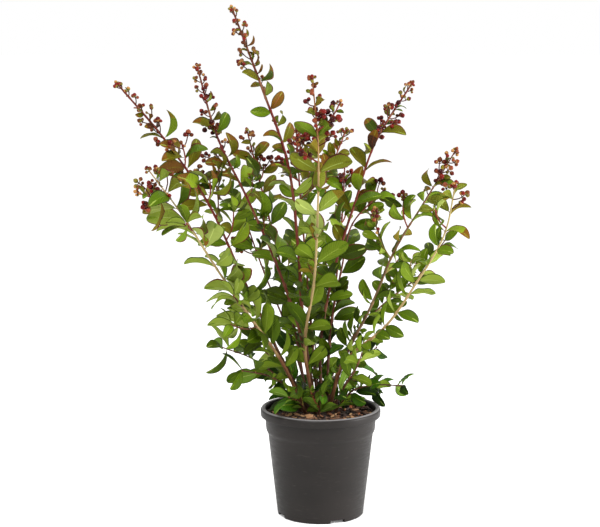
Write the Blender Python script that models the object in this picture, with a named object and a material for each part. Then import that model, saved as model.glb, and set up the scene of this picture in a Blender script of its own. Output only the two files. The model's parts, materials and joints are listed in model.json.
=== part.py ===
"""A young crape myrtle in flower bud, with many stems, in a nursery pot.

Metres, +Z up. The origin is the centre of the pot's flat underside, +X is the
plant's right and -Y its front. Every stem is a curve through six named places.
Its foot stands bare on the growing medium, and its leafy length, with side
twigs, leaves and buds, is one foliage mass that grows by a seeded rule.
"""

import random
from bisect import bisect_right
from collections import namedtuple
from math import cos, pi, radians, sin, sqrt

import bpy
from mathutils import Quaternion, Vector
from mathutils.bvhtree import BVHTree

# Gap between neighbouring solids
CLEARANCE = 0.0003

# Pot, a turned shell
POT_SIDES = 32
POT_HEIGHT = 0.172
RIM_RADIUS = 0.095
RIM_INNER_RADIUS = 0.0868
RIM_BOTTOM = 0.1592
RIM_THICKNESS = 0.0016
COLLAR_TOP_RADIUS = 0.0880
STEP_TOP = (0.0863, 0.1370)
STEP_BOTTOM = (0.0832, 0.1310)
WALL_THICKNESS = 0.0015
FOOT_RADIUS = 0.0680
FOOT_INNER_RADIUS = 0.0605
FOOT_ROUNDING = 0.0013
PAD_RADIUS = 0.018
RECESS_HEIGHT = 0.0058
FLOOR_TOP = 0.0074

# Notches in the foot and drain holes in the floor
NOTCH_COUNT = 4
NOTCH_TURN = radians(-67)
NOTCH_WIDTH = 0.024
NOTCH_HEIGHT = 0.0054
DRAIN_COUNT = 8
DRAIN_RADIUS = 0.005
DRAIN_CIRCLE = 0.050
DRAIN_SIDES = 6

# Growing medium
SOIL_TOP = 0.164
SOIL_FLAT_RADIUS = 0.040
SOIL_UNEVENNESS = 0.0012

# Stems and twigs
STEM_SIDES = 6
TWIG_SIDES = 3
RING_GAP = 0.030
TAPER = 0.85
FOOT_FLARE = 1.3
FLARE_LENGTH = 0.020
TWIG_TIP_RADIUS = 0.0011
SIDE_TWIG_RADIUS = 0.0013
BRANCHLET_RADIUS = 0.0006
SIDE_ROOT = 0.006
SIDE_GAP = (0.019, 0.015)
SIDE_STEP = 90
SIDE_LEAF = 0.84
FIRST_LEAF = 0.008

# Leaves
LEAF_WIDTH = 0.46
LEAF_FOLD = 0.09
LEAF_THICKNESS = 0.022
KEEL_PLACE = 0.30
LARGE_LEAF = 0.058
LOW_SPREAD = 66
HIGH_SPREAD = 64
LIFT = 0.10
UPPER_SIDE_TURN = 32
FACE_UP = 0.55
FACE_INWARD = 0.95
INWARD_REACH = 0.05
ROLL = 38
SWING = 22
LEAF_TRIES = 8
SPARE = 0.0006
BRANCHING = 0.08

# Buds, which stand in clusters
BUD_RADIUS = 0.0040
CLUSTER_WIDTH = 1.5
CLUSTER_SIDES = 3
CROWN_LENGTH = 0.007
PAIRING = 0.85
BRANCHLET_TURN = 65
LEAFY_SHARE = 0.2
BRACT_SHARE = 0.65
BRACT_GAP = 0.016
SMALLEST_BRACT = 0.012

# Leaves are smaller and closer low down in the middle of the crown
SMALL_SHARE = 0.55
SMALL_HEIGHTS = (0.20, 0.38)
SMALL_REACHES = (0.05, 0.13)

UP = Vector((0, 0, 1))
RIGHT = Vector((1, 0, 0))
CELL = 0.05

Side = namedtuple("Side", "at turn length raceme")
Stem = namedtuple("Stem", "name points foot bare raceme leaf gap turn step seed sides")
Leaf = namedtuple("Leaf", "root heading face length")
Cluster = namedtuple("Cluster", "twig radius count")
Growth = namedtuple("Growth", "shoot first last low high gap turn step raceme")


def stem(name, points, foot=0.0032, bare=0.09, raceme=0.0, leaf=(0.060, 0.036),
         gap=(0.048, 0.026), turn=0, step=84, seed=1, sides=()):
    """A stem's places from foot to tip, its foot's radius, its bare length and how it grows."""
    return Stem(name, points, foot, bare, raceme, leaf, gap, turn, step, seed, sides)


# Other steps between leaf pairs
CLOSE_GAP = (0.042, 0.022)
NEAR_GAP = (0.034, 0.026)
WIDE_GAP = (0.058, 0.033)
WIDER_GAP = (0.074, 0.044)

# Stems from the left round to the right, each through six places at even steps
STEMS = (
    stem("front_left",
         ((-0.023, -0.012, 0.164), (-0.062, -0.038, 0.254), (-0.113, -0.071, 0.334),
          (-0.161, -0.108, 0.414), (-0.204, -0.148, 0.492), (-0.251, -0.190, 0.565)),
         bare=0.08, raceme=0.05, leaf=(0.068, 0.056), gap=(0.033, 0.026), turn=4, step=12, seed=124,
         sides=(Side(0.44, 200, 0.05, 0.03),)),
    stem("far_left",
         ((-0.018, 0.004, 0.164), (-0.074, 0.006, 0.274), (-0.126, 0.009, 0.385),
          (-0.175, 0.013, 0.492), (-0.242, 0.016, 0.592), (-0.317, 0.020, 0.681)),
         bare=0.12, raceme=0.13, leaf=(0.064, 0.044), turn=60, seed=154,
         sides=(Side(0.34, 60, 0.06, 0.0),)),
    stem("left",
         ((-0.012, 0.014, 0.164), (-0.031, 0.028, 0.279), (-0.068, 0.046, 0.388),
          (-0.115, 0.066, 0.493), (-0.166, 0.087, 0.596), (-0.198, 0.110, 0.706)),
         bare=0.12, raceme=0.13, leaf=(0.062, 0.043), gap=WIDER_GAP, turn=80, seed=188),
    stem("tall",
         ((-0.007, 0.002, 0.164), (-0.027, 0.009, 0.298), (-0.036, 0.018, 0.428),
          (-0.052, 0.028, 0.557), (-0.094, 0.039, 0.678), (-0.139, 0.050, 0.797)),
         foot=0.0036, bare=0.13, raceme=0.115, leaf=(0.060, 0.034), gap=CLOSE_GAP, turn=0, seed=90,
         sides=(Side(0.33, 20, 0.15, 0.04),)),
    stem("front",
         ((-0.007, -0.016, 0.164), (-0.025, -0.037, 0.275), (-0.011, -0.064, 0.384),
          (-0.006, -0.094, 0.491), (-0.006, -0.126, 0.595), (-0.015, -0.160, 0.694)),
         bare=0.075, raceme=0.11, leaf=(0.066, 0.047), turn=0, seed=28,
         sides=(Side(0.42, 180, 0.045, 0.035), Side(0.47, 10, 0.055, 0.045))),
    stem("right",
         ((0.001, 0.012, 0.164), (0.001, 0.031, 0.273), (0.021, 0.055, 0.379),
          (0.054, 0.081, 0.483), (0.090, 0.110, 0.585), (0.150, 0.140, 0.678)),
         bare=0.12, raceme=0.12, leaf=(0.060, 0.043), turn=80, seed=52),
    stem("far_right",
         ((0.009, 0.000, 0.164), (0.040, 0.000, 0.254), (0.081, 0.000, 0.338),
          (0.116, 0.000, 0.423), (0.163, 0.000, 0.501), (0.209, 0.000, 0.579)),
         bare=0.08, raceme=0.07, leaf=(0.056, 0.042), turn=60, seed=162,
         sides=(Side(0.265, 190, 0.085, 0.03), Side(0.32, 150, 0.05, 0.012))),
    stem("low_right",
         ((0.012, -0.010, 0.164), (0.037, -0.027, 0.249), (0.099, -0.050, 0.310),
          (0.145, -0.075, 0.383), (0.183, -0.102, 0.458), (0.197, -0.130, 0.539)),
         bare=0.08, raceme=0.03, leaf=(0.050, 0.040), gap=NEAR_GAP, turn=0, step=30, seed=137),
    stem("inner_right",
         ((0.014, 0.006, 0.164), (0.012, 0.030, 0.235), (0.019, 0.050, 0.308),
          (0.034, 0.072, 0.380), (0.052, 0.095, 0.452), (0.104, 0.120, 0.505)),
         foot=0.0026, bare=0.08, raceme=0.02, leaf=(0.058, 0.043), turn=20, seed=150),
    stem("thin_right",
         ((0.018, 0.014, 0.164), (0.028, 0.028, 0.226), (0.058, 0.048, 0.284),
          (0.107, 0.071, 0.329), (0.162, 0.095, 0.369), (0.205, 0.120, 0.423)),
         foot=0.0022, bare=0.09, leaf=(0.046, 0.038), gap=NEAR_GAP, turn=0, seed=71),
    stem("back",
         ((-0.004, 0.022, 0.164), (-0.012, 0.080, 0.255), (-0.019, 0.125, 0.343),
          (-0.027, 0.163, 0.430), (-0.034, 0.195, 0.515), (-0.039, 0.215, 0.597)),
         foot=0.0030, bare=0.10, raceme=0.08, leaf=(0.060, 0.042), gap=CLOSE_GAP, turn=60, seed=5),
    stem("back_left",
         ((-0.020, 0.022, 0.164), (-0.036, 0.070, 0.255), (-0.055, 0.110, 0.343),
          (-0.077, 0.145, 0.430), (-0.100, 0.173, 0.517), (-0.121, 0.195, 0.598)),
         foot=0.0028, bare=0.10, raceme=0.07, leaf=(0.060, 0.042), gap=CLOSE_GAP, turn=40, seed=184),
    stem("back_right",
         ((0.008, 0.022, 0.164), (0.015, 0.078, 0.245), (0.024, 0.125, 0.322),
          (0.032, 0.163, 0.395), (0.039, 0.195, 0.467), (0.043, 0.220, 0.538)),
         foot=0.0028, bare=0.10, raceme=0.05, leaf=(0.058, 0.042), gap=WIDE_GAP, turn=80, seed=165),
    stem("rear_left",
         ((-0.014, 0.030, 0.164), (-0.036, 0.080, 0.230), (-0.062, 0.128, 0.295),
          (-0.090, 0.172, 0.355), (-0.114, 0.212, 0.414), (-0.135, 0.245, 0.476)),
         foot=0.0024, bare=0.09, leaf=(0.058, 0.044), gap=WIDE_GAP, turn=40, seed=71),
)

# Step between the leaf pairs of the short shoots
LOW_GAP = (0.038, 0.034)
WIDE_LOW_GAP = (0.054, 0.048)

# Short shoots that leaf right from the growing medium
BASALS = (
    stem("basal_left_low",
         ((-0.030, -0.004, 0.164), (-0.048, -0.018, 0.203), (-0.079, -0.038, 0.229),
          (-0.122, -0.060, 0.243)),
         foot=0.0015, bare=0.0, leaf=(0.056, 0.052), gap=WIDE_LOW_GAP, turn=40, seed=138),
    stem("basal_left",
         ((-0.028, 0.008, 0.164), (-0.064, 0.002, 0.216), (-0.107, 0.000, 0.249),
          (-0.156, 0.000, 0.268)),
         foot=0.0016, bare=0.0, leaf=(0.054, 0.050), gap=LOW_GAP, turn=20, seed=18),
    stem("basal_front_right",
         ((0.012, -0.020, 0.164), (0.035, -0.048, 0.212), (0.052, -0.070, 0.245),
          (0.062, -0.088, 0.276)),
         foot=0.0014, bare=0.0, leaf=(0.046, 0.036), gap=LOW_GAP, turn=0, seed=154),
    stem("basal_right",
         ((0.022, -0.004, 0.164), (0.050, -0.012, 0.200), (0.090, -0.022, 0.212),
          (0.127, -0.030, 0.212)),
         foot=0.0014, bare=0.0, leaf=(0.044, 0.036), gap=LOW_GAP, turn=20, seed=12),
    stem("basal_right_low",
         ((0.024, 0.008, 0.164), (0.048, 0.026, 0.190), (0.074, 0.042, 0.196),
          (0.097, 0.056, 0.190)),
         foot=0.0013, bare=0.0, leaf=(0.042, 0.036), gap=LOW_GAP, turn=80, seed=76),
    stem("basal_front_left",
         ((-0.022, -0.022, 0.164), (-0.032, -0.042, 0.188), (-0.042, -0.058, 0.199),
          (-0.050, -0.070, 0.203)),
         foot=0.0013, bare=0.0, leaf=(0.044, 0.042), gap=LOW_GAP, turn=0, seed=104),
    stem("basal_front",
         ((-0.003, -0.032, 0.164), (-0.002, -0.046, 0.184), (0.000, -0.056, 0.196),
          (0.002, -0.064, 0.204)),
         foot=0.0013, bare=0.0, leaf=(0.038, 0.036), gap=WIDE_LOW_GAP, turn=0, seed=93),
    stem("basal_back_left",
         ((-0.026, 0.032, 0.164), (-0.050, 0.060, 0.205), (-0.080, 0.090, 0.234),
          (-0.112, 0.118, 0.256)),
         foot=0.0015, bare=0.0, leaf=(0.050, 0.044), gap=LOW_GAP, turn=20, seed=170),
    stem("basal_back",
         ((-0.002, 0.036, 0.164), (-0.004, 0.068, 0.204), (-0.006, 0.100, 0.232),
          (-0.008, 0.132, 0.252)),
         foot=0.0015, bare=0.0, leaf=(0.050, 0.044), gap=LOW_GAP, turn=80, seed=49),
    stem("basal_back_right",
         ((0.022, 0.028, 0.164), (0.044, 0.058, 0.202), (0.068, 0.086, 0.228),
          (0.094, 0.114, 0.246)),
         foot=0.0015, bare=0.0, leaf=(0.048, 0.042), gap=LOW_GAP, turn=40, seed=192),
)


def mix(first, second, share):
    """A value that share of the way from the first to the second."""
    return first + (second - first) * share


def spline(points, steps):
    """A smooth curve through every point, as a list of places."""
    places = [Vector(point) for point in points]
    before = places[0] * 2 - places[1]
    after = places[-1] * 2 - places[-2]
    guides = [before] + places + [after]
    curve = []
    for a, b, c, d in zip(guides, guides[1:], guides[2:], guides[3:]):
        for step in range(steps):
            t = step / steps
            pull = (c - a) * t
            bend = (a * 2 - b * 5 + c * 4 - d) * t ** 2
            twist = (b * 3 - a - c * 3 + d) * t ** 3
            curve.append((b * 2 + pull + bend + twist) / 2)
    curve.append(places[-1])
    return curve


def ring_places(start, end, gap):
    """The distances of a tube's rings, at even steps near this gap."""
    count = max(1, round((end - start) / gap))
    return [mix(start, end, ring / count) for ring in range(count + 1)]


class Shoot:
    """A stem or twig on its curve, walked by length, with its taper."""

    def __init__(self, points, foot_radius, tip_radius, steps=12, start=0.0):
        self.marks = spline(points, steps)
        self.lengths = [0.0]
        for before, after in zip(self.marks, self.marks[1:]):
            self.lengths.append(self.lengths[-1] + (after - before).length)
        self.length = self.lengths[-1]
        self.foot_radius = foot_radius
        self.tip_radius = tip_radius
        self.start = start
        self.rings = ring_places(start, self.length, RING_GAP)

    def point(self, distance):
        """The place at this distance from the foot."""
        index = min(max(bisect_right(self.lengths, distance) - 1, 0), len(self.marks) - 2)
        span = self.lengths[index + 1] - self.lengths[index]
        return self.marks[index].lerp(self.marks[index + 1], (distance - self.lengths[index]) / span)

    def core(self, distance):
        """The place at this distance in the middle of the solid, which is straight between its rings."""
        index = min(max(bisect_right(self.rings, distance) - 1, 0), len(self.rings) - 2)
        low, high = self.rings[index], self.rings[index + 1]
        return self.point(low).lerp(self.point(high), (distance - low) / (high - low))

    def heading(self, distance):
        """The way the shoot runs at this distance."""
        reach = self.length * 0.02
        start = max(distance - reach, 0.0)
        end = min(distance + reach, self.length)
        return (self.point(end) - self.point(start)).normalized()

    def outward(self, distance, turn):
        """The way out of the shoot's side at an angle round it, 0 being the plant's right."""
        heading = self.heading(distance)
        right = (RIGHT - heading * heading.x).normalized()
        return right * cos(turn) + heading.cross(right) * sin(turn)

    def radius(self, distance):
        """Half the shoot's thickness at this distance."""
        share = min(distance / self.length, 1.0) ** TAPER
        return mix(self.foot_radius, self.tip_radius, share)


def tube(shoot, start, end, sides, ring_gap=RING_GAP, spare=0.0, ground=None):
    """A tapering tube round part of a shoot, cut level where it starts on the ground."""
    places = ring_places(start, end, ring_gap)
    corners = []
    for ring, distance in enumerate(places):
        radius = shoot.radius(distance) + spare
        if ground is not None:
            radius *= mix(FOOT_FLARE, 1.0, min(distance / FLARE_LENGTH, 1.0))
        centre = shoot.point(distance)
        heading = shoot.heading(distance)
        for side in range(sides):
            corner = centre + shoot.outward(distance, 2 * pi * side / sides) * radius
            if ground is not None and ring == 0:
                corner += heading * ((ground - corner.z) / heading.z)
            corners.append(corner)
    faces = [tuple(reversed(range(sides)))]
    count = len(places) - 1
    for ring in range(count):
        for side in range(sides):
            below = ring * sides
            beside = (side + 1) % sides
            faces.append((below + side, below + beside, below + sides + beside, below + sides + side))
    faces.append(tuple(range(count * sides, (count + 1) * sides)))
    return corners, faces


def leaf_shape(leaf, start=0.0, spare=0.0):
    """A leaf folded along its midrib, with a keel under it, that narrows to its root and its tip."""
    side = leaf.heading.cross(leaf.face)
    half_width = leaf.length * LEAF_WIDTH / 2 + spare
    root = leaf.root + leaf.heading * (leaf.length * start)
    keel = leaf.root + leaf.heading * (leaf.length * (KEEL_PLACE + start))
    keel -= leaf.face * (leaf.length * LEAF_THICKNESS + spare)
    tip = leaf.root + leaf.heading * leaf.length
    corners = [root + leaf.face * spare, keel, tip]
    stations = ((0.60, 1.0),) if leaf.length < LARGE_LEAF else ((0.46, 0.94), (0.80, 0.84))
    for along, width in stations:
        middle = leaf.root + leaf.heading * (leaf.length * along)
        middle += leaf.face * (leaf.length * LEAF_FOLD * width)
        corners += [middle + side * (half_width * width), middle - side * (half_width * width)]
    faces = [(0, 1, 3), (0, 4, 1)]
    right, left = 3, 4
    for further in range(5, len(corners), 2):
        faces += [(0, right, further), (0, further + 1, left)]
        faces += [(1, further, right), (1, left, further + 1)]
        right, left = further, further + 1
    faces += [(0, right, 2), (0, 2, left), (1, 2, right), (1, left, 2)]
    return corners, faces


def cluster_shape(cluster):
    """A cluster of buds drawn out into its branchlet: six faces from its root to its top."""
    twig = cluster.twig
    root = twig.point(0.0)
    centre = twig.point(twig.length)
    axis = (centre - root).normalized()
    across = axis.orthogonal().normalized()
    beside = axis.cross(across)
    reach = cluster.radius * (CLUSTER_WIDTH if cluster.count > 1 else 1.0)
    corners = [root, centre + axis * reach]
    for side in range(CLUSTER_SIDES):
        angle = 2 * pi * side / CLUSTER_SIDES
        corners.append(centre + (across * cos(angle) + beside * sin(angle)) * reach)
    faces = []
    for side in range(CLUSTER_SIDES):
        near, far = 2 + side, 2 + (side + 1) % CLUSTER_SIDES
        faces += [(0, far, near), (1, near, far)]
    return corners, faces


class Space:
    """The room that is taken, in a grid of cells, so that no two masses touch."""

    def __init__(self):
        self.cells = {}

    def cells_of(self, corners):
        """The grid cells that a shape's box reaches."""
        spans = []
        for axis in range(3):
            values = [corner[axis] for corner in corners]
            spans.append(range(int(min(values) // CELL), int(max(values) // CELL) + 1))
        return [(x, y, z) for x in spans[0] for y in spans[1] for z in spans[2]]

    def add(self, owner, shape):
        """Takes the room of a shape for its owner."""
        tree = BVHTree.FromPolygons(*shape)
        for cell in self.cells_of(shape[0]):
            self.cells.setdefault(cell, []).append((owner, tree))

    def meets(self, shape, owner, own):
        """Whether a shape touches what its owner has, or what others have."""
        tree = BVHTree.FromPolygons(*shape)
        seen = set()
        for cell in self.cells_of(shape[0]):
            for holder, taken in self.cells.get(cell, ()):
                if id(taken) in seen or (holder == owner) != own:
                    continue
                seen.add(id(taken))
                if tree.overlap(taken):
                    return True
        return False


class Mass:
    """What grows from one stem: its main shoot, side twigs, leaves and buds."""

    def __init__(self, plan):
        self.plan = plan
        self.name = plan.name
        start = plan.bare + CLEARANCE if plan.bare else 0.0
        self.main = Shoot(plan.points, plan.foot, TWIG_TIP_RADIUS, start=start)
        self.growths = []
        self.leaves = []
        self.clusters = []

    def dice(self, *key):
        """Random numbers of their own for each thing that grows, the same on every run."""
        words = [self.name, self.plan.seed, *key]
        return random.Random(" ".join(str(word) for word in words))


def side_shoot(parent, at, turn, length):
    """A twig that leaves its parent's side and bends up along it."""
    heading = parent.heading(at)
    out = parent.outward(at, radians(turn))
    points = [parent.core(at)]
    for spread in (56, 42, 30):
        way = heading * cos(radians(spread)) + out * sin(radians(spread))
        points.append(points[-1] + way * (length / 3))
    return Shoot(points, SIDE_TWIG_RADIUS, TWIG_TIP_RADIUS, 6)


def add_side(mass, space, side):
    """Grows one side twig where there is room for it, and says whether it did."""
    twig = side_shoot(mass.main, side.at, side.turn, side.length)
    shape = tube(twig, SIDE_ROOT, twig.length, TWIG_SIDES, spare=SPARE)
    if space.meets(shape, mass.name, False) or space.meets(shape, mass.name, True):
        return False
    space.add(mass.name, shape)
    share = side.at / mass.main.length
    size = mix(mass.plan.leaf[0], mass.plan.leaf[1], share) * SIDE_LEAF
    last = twig.length - side.raceme
    turn = side.turn + 90
    growth = Growth(twig, 0.013, last, size, size * 0.75, SIDE_GAP, turn, SIDE_STEP, side.raceme)
    mass.growths.append(growth)
    return True


def branch(mass, space):
    """The main shoot's stated side twigs, then more where the seeded rule puts them."""
    plan = mass.plan
    last = mass.main.length - plan.raceme * (1 - LEAFY_SHARE)
    first = plan.bare + FIRST_LEAF
    growth = Growth(mass.main, first, last, *plan.leaf, plan.gap, plan.turn, plan.step, plan.raceme)
    mass.growths.append(growth)
    for side in plan.sides:
        add_side(mass, space, side)
    if not plan.bare:
        return
    distance = plan.bare + 0.05
    index = 0
    while distance < last - 0.02:
        dice = mass.dice("side", index)
        chance = dice.random()
        share = (distance - plan.bare) / (last - plan.bare)
        length = mix(0.055, 0.035, share) * dice.uniform(0.8, 1.25)
        turn = dice.uniform(0, 360)
        budded = 0.014 if share > 0.6 and dice.random() < 0.5 else 0.0
        if chance < BRANCHING:
            add_side(mass, space, Side(distance, turn, length, budded))
        distance += 0.022
        index += 1


def branchlet(shoot, distance, turn, length, spread):
    """A short curved stalk out of a flowering shoot."""
    heading = shoot.heading(distance)
    out = shoot.outward(distance, turn)
    root = shoot.core(distance)
    elbow = root + (heading * cos(spread) + out * sin(spread)) * (length / 2)
    end = elbow + (heading * cos(spread * 0.6) + out * sin(spread * 0.6)) * (length / 2)
    return Shoot((root, elbow, end), BRANCHLET_RADIUS, BRANCHLET_RADIUS, 2)


def add_branchlet(mass, space, shoot, distance, turn, share, side, dice):
    """One branchlet with its buds, where there is room for them."""
    length = mix(0.027, 0.008, share) * dice.uniform(0.7, 1.15)
    radius = BUD_RADIUS * mix(1.0, 0.76, share) * dice.uniform(0.92, 1.08)
    spread = radians(dice.uniform(44, 70))
    count = max(1, round(mix(4.4, 2.0, share) + dice.uniform(-1.3, 0.8)))
    at = min(distance + side * dice.uniform(0.0, 0.005), shoot.length - 0.004)
    twig = branchlet(shoot, at, turn + pi * side + dice.uniform(-0.4, 0.4), length, spread)
    room = tube(twig, twig.length * 0.4, twig.length, 4, spare=radius * CLUSTER_WIDTH)
    if dice.random() < PAIRING and not space.meets(room, mass.name, False):
        space.add(mass.name, room)
        mass.clusters.append(Cluster(twig, radius, count))


def add_tip_buds(mass, growth):
    """The buds at the very tip of a flowering shoot."""
    shoot = growth.shoot
    marks = [
        shoot.core(shoot.length - CROWN_LENGTH),
        shoot.point(shoot.length - CROWN_LENGTH / 2),
        shoot.point(shoot.length),
    ]
    count = 6 if growth.raceme > 0.02 else 4
    twig = Shoot(marks, BRANCHLET_RADIUS, BRANCHLET_RADIUS, 2)
    mass.clusters.append(Cluster(twig, BUD_RADIUS * 0.72, count))


def flower(mass, space, growth, order):
    """Clusters of buds on pairs of branchlets up the last stretch of a shoot, and one at its tip."""
    shoot = growth.shoot
    start = shoot.length - growth.raceme
    distance = start + 0.003
    turn = radians(growth.turn)
    index = 0
    while distance < shoot.length - 0.008:
        share = (distance - start) / growth.raceme
        for side in range(2):
            dice = mass.dice("branchlet", order, index, side)
            add_branchlet(mass, space, shoot, distance, turn, share, side, dice)
        dice = mass.dice("flower node", order, index)
        turn += radians(BRANCHLET_TURN) + dice.uniform(-0.3, 0.3)
        distance += mix(0.023, 0.014, share) * dice.uniform(0.85, 1.15)
        index += 1
    add_tip_buds(mass, growth)


def leaf_face(root, heading, roll):
    """The way a leaf's upper side looks: up and in to the middle of the crown, rolled a little."""
    inward = Vector((-root.x, -root.y, 0)) / INWARD_REACH
    if inward.length > 1.0:
        inward.normalize()
    lit = UP * FACE_UP + inward * FACE_INWARD
    face = (lit - heading * lit.dot(heading)).normalized()
    face.rotate(Quaternion(heading, roll))
    return face


def settle_leaf(mass, space, growth, distance, turn, length, dice):
    """One leaf at a node, turned or shortened until it has room, or else left off."""
    shoot = growth.shoot
    share = (distance - growth.first) / max(growth.last - growth.first, 0.001)
    along = shoot.heading(distance)
    for attempt in range(LEAF_TRIES):
        swing = dice.uniform(-SWING, SWING) * (1 + 0.5 * attempt)
        out = shoot.outward(distance, radians(turn + swing))
        spread = mix(LOW_SPREAD, HIGH_SPREAD, min(share, 1.0)) + dice.uniform(-11, 11)
        spread = radians(spread - UPPER_SIDE_TURN * max(out.z, 0.0))
        roll = radians(dice.uniform(-ROLL, ROLL))
        heading = (along * cos(spread) + out * sin(spread) + UP * LIFT).normalized()
        root = shoot.core(distance)
        leaf = Leaf(root, heading, leaf_face(root, heading, roll), length)
        blade = leaf_shape(leaf, 0.22, SPARE)
        whole = leaf_shape(leaf, 0.05, SPARE)
        if not space.meets(whole, mass.name, False) and not space.meets(blade, mass.name, True):
            space.add(mass.name, leaf_shape(leaf, 0.12))
            mass.leaves.append(leaf)
            return
        length *= 0.975


def bract_leaves(mass, space, growth, order):
    """Single leaves that go on up the lower part of a flowering stretch, each smaller than the last."""
    end = growth.shoot.length - growth.raceme * (1 - BRACT_SHARE)
    distance = growth.last + BRACT_GAP * 0.75
    index = 0
    while distance < end:
        dice = mass.dice("bract", order, index)
        share = (distance - growth.last) / growth.raceme
        length = mix(growth.high * 0.72, SMALLEST_BRACT, share) * dice.uniform(0.8, 1.1)
        settle_leaf(mass, space, growth, distance, dice.uniform(0, 360), length, dice)
        distance += BRACT_GAP
        index += 1


def leaf_share(mass, place):
    """The share of its full size that a leaf has at a place on a tall stem."""
    if not mass.plan.bare:
        return 1.0
    low, high = SMALL_HEIGHTS
    inner, outer = SMALL_REACHES
    reach = sqrt(place.x ** 2 + place.y ** 2)
    out = max((place.z - low) / (high - low), (reach - inner) / (outer - inner))
    return mix(SMALL_SHARE, 1.0, min(max(out, 0.0), 1.0))


def leaf_out(mass, space, growth, order):
    """Pairs of leaves up a shoot, each pair turned from the last, smaller towards the tip."""
    distance = growth.first
    turn = growth.turn
    pair = 0
    while distance < growth.last:
        share = (distance - growth.first) / max(growth.last - growth.first, 0.001)
        size = leaf_share(mass, growth.shoot.point(distance))
        for side in range(2):
            dice = mass.dice("leaf", order, pair, side)
            length = mix(growth.low, growth.high, share ** 0.9) * size * dice.uniform(0.84, 1.1)
            at = min(distance + side * dice.uniform(0.001, 0.006), growth.shoot.length - 0.001)
            settle_leaf(mass, space, growth, at, turn + 180 * side, length, dice)
        dice = mass.dice("node", order, pair)
        distance += mix(*growth.gap, share) * size * dice.uniform(0.86, 1.14)
        turn += growth.step + dice.uniform(-16, 16)
        pair += 1
    if growth.raceme:
        bract_leaves(mass, space, growth, order)
        return
    for side in range(2):
        dice = mass.dice("tip", order, side)
        at = growth.shoot.length - 0.0015
        settle_leaf(mass, space, growth, at, turn + 180 * side, growth.high * 0.8, dice)


def grow_plant():
    """Every mass, grown together so that each keeps to its own space."""
    space = Space()
    space.add("pot", turned(pot_outline(), POT_SIDES))
    space.add("growing_medium", growing_medium_shape())
    masses = [Mass(plan) for plan in STEMS + BASALS]
    for mass in masses:
        space.add(mass.name, tube(mass.main, 0.004, mass.main.length, STEM_SIDES, 0.015, SPARE))
    for mass in masses:
        branch(mass, space)
    for mass in masses:
        for order, growth in enumerate(mass.growths):
            if growth.raceme:
                flower(mass, space, growth, order)
    for mass in masses:
        for order, growth in enumerate(mass.growths):
            leaf_out(mass, space, growth, order)
    return masses


def wall_radius(height):
    """The pot's outer radius at a height below its rim."""
    marks = [(0.0, FOOT_RADIUS), STEP_BOTTOM[::-1], STEP_TOP[::-1], (RIM_BOTTOM, COLLAR_TOP_RADIUS)]
    for (low, near), (high, far) in zip(marks, marks[1:]):
        if height <= high:
            return mix(near, far, (height - low) / (high - low))
    return COLLAR_TOP_RADIUS


def pot_outline():
    """The pot's outline from the middle of its underside, out and up, over the rim and back inside."""
    return [
        (PAD_RADIUS, 0.0),
        (PAD_RADIUS, RECESS_HEIGHT),
        (FOOT_INNER_RADIUS, RECESS_HEIGHT),
        (FOOT_INNER_RADIUS, 0.0),
        (FOOT_RADIUS - FOOT_ROUNDING, 0.0),
        (wall_radius(FOOT_ROUNDING), FOOT_ROUNDING),
        STEP_BOTTOM,
        STEP_TOP,
        (COLLAR_TOP_RADIUS, RIM_BOTTOM),
        (COLLAR_TOP_RADIUS + 0.0005, POT_HEIGHT - 0.0042),
        (RIM_RADIUS - RIM_THICKNESS, POT_HEIGHT - 0.0042),
        (RIM_RADIUS - RIM_THICKNESS, RIM_BOTTOM + 0.0004),
        (RIM_RADIUS - 0.0004, RIM_BOTTOM),
        (RIM_RADIUS, RIM_BOTTOM + 0.0022),
        (RIM_RADIUS, POT_HEIGHT - 0.0030),
        (RIM_RADIUS - 0.0022, POT_HEIGHT),
        (RIM_INNER_RADIUS + 0.0016, POT_HEIGHT),
        (RIM_INNER_RADIUS, POT_HEIGHT - 0.0024),
        (wall_radius(RIM_BOTTOM) - WALL_THICKNESS, RIM_BOTTOM),
        (STEP_TOP[0] - WALL_THICKNESS, STEP_TOP[1] + 0.0004),
        (STEP_BOTTOM[0] - WALL_THICKNESS, STEP_BOTTOM[1] + 0.0004),
        (wall_radius(FLOOR_TOP) - WALL_THICKNESS, FLOOR_TOP),
    ]


def inner_radius(height):
    """The radius inside the pot at a height between its floor and its rim."""
    marks = [(z, r) for r, z in reversed(pot_outline()[-5:])]
    for (low, near), (high, far) in zip(marks, marks[1:]):
        if height <= high:
            return mix(near, far, (height - low) / (high - low))
    return RIM_INNER_RADIUS


def turned(outline, sides):
    """A closed solid turned from an outline that starts under its middle and ends over it."""
    corners = [Vector((0, 0, outline[0][1]))]
    for radius, height in outline:
        for side in range(sides):
            angle = 2 * pi * side / sides
            corners.append(Vector((radius * cos(angle), radius * sin(angle), height)))
    corners.append(Vector((0, 0, outline[-1][1])))
    last = len(corners) - 1
    faces = []
    for side in range(sides):
        beside = (side + 1) % sides
        faces.append((0, 1 + beside, 1 + side))
        for ring in range(len(outline) - 1):
            near = 1 + ring * sides
            far = near + sides
            faces.append((near + side, near + beside, far + beside, far + side))
        near = 1 + (len(outline) - 1) * sides
        faces.append((near + side, near + beside, last))
    return corners, faces


def growing_medium_shape():
    """What fills the pot: it follows the wall, flat under the stems and uneven round them."""
    dice = random.Random("growing medium")
    outline = []
    for height in (FLOOR_TOP + CLEARANCE, STEP_BOTTOM[1], STEP_TOP[1], SOIL_TOP - 0.001):
        outline.append((inner_radius(height) - CLEARANCE, height))
    outline += [(0.070, SOIL_TOP), (0.054, SOIL_TOP), (SOIL_FLAT_RADIUS, SOIL_TOP)]
    corners, faces = turned(outline, POT_SIDES)
    first = 1 + 4 * POT_SIDES
    for corner in corners[first:first + 2 * POT_SIDES]:
        corner.z += dice.uniform(-SOIL_UNEVENNESS, SOIL_UNEVENNESS)
    return corners, faces


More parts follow.
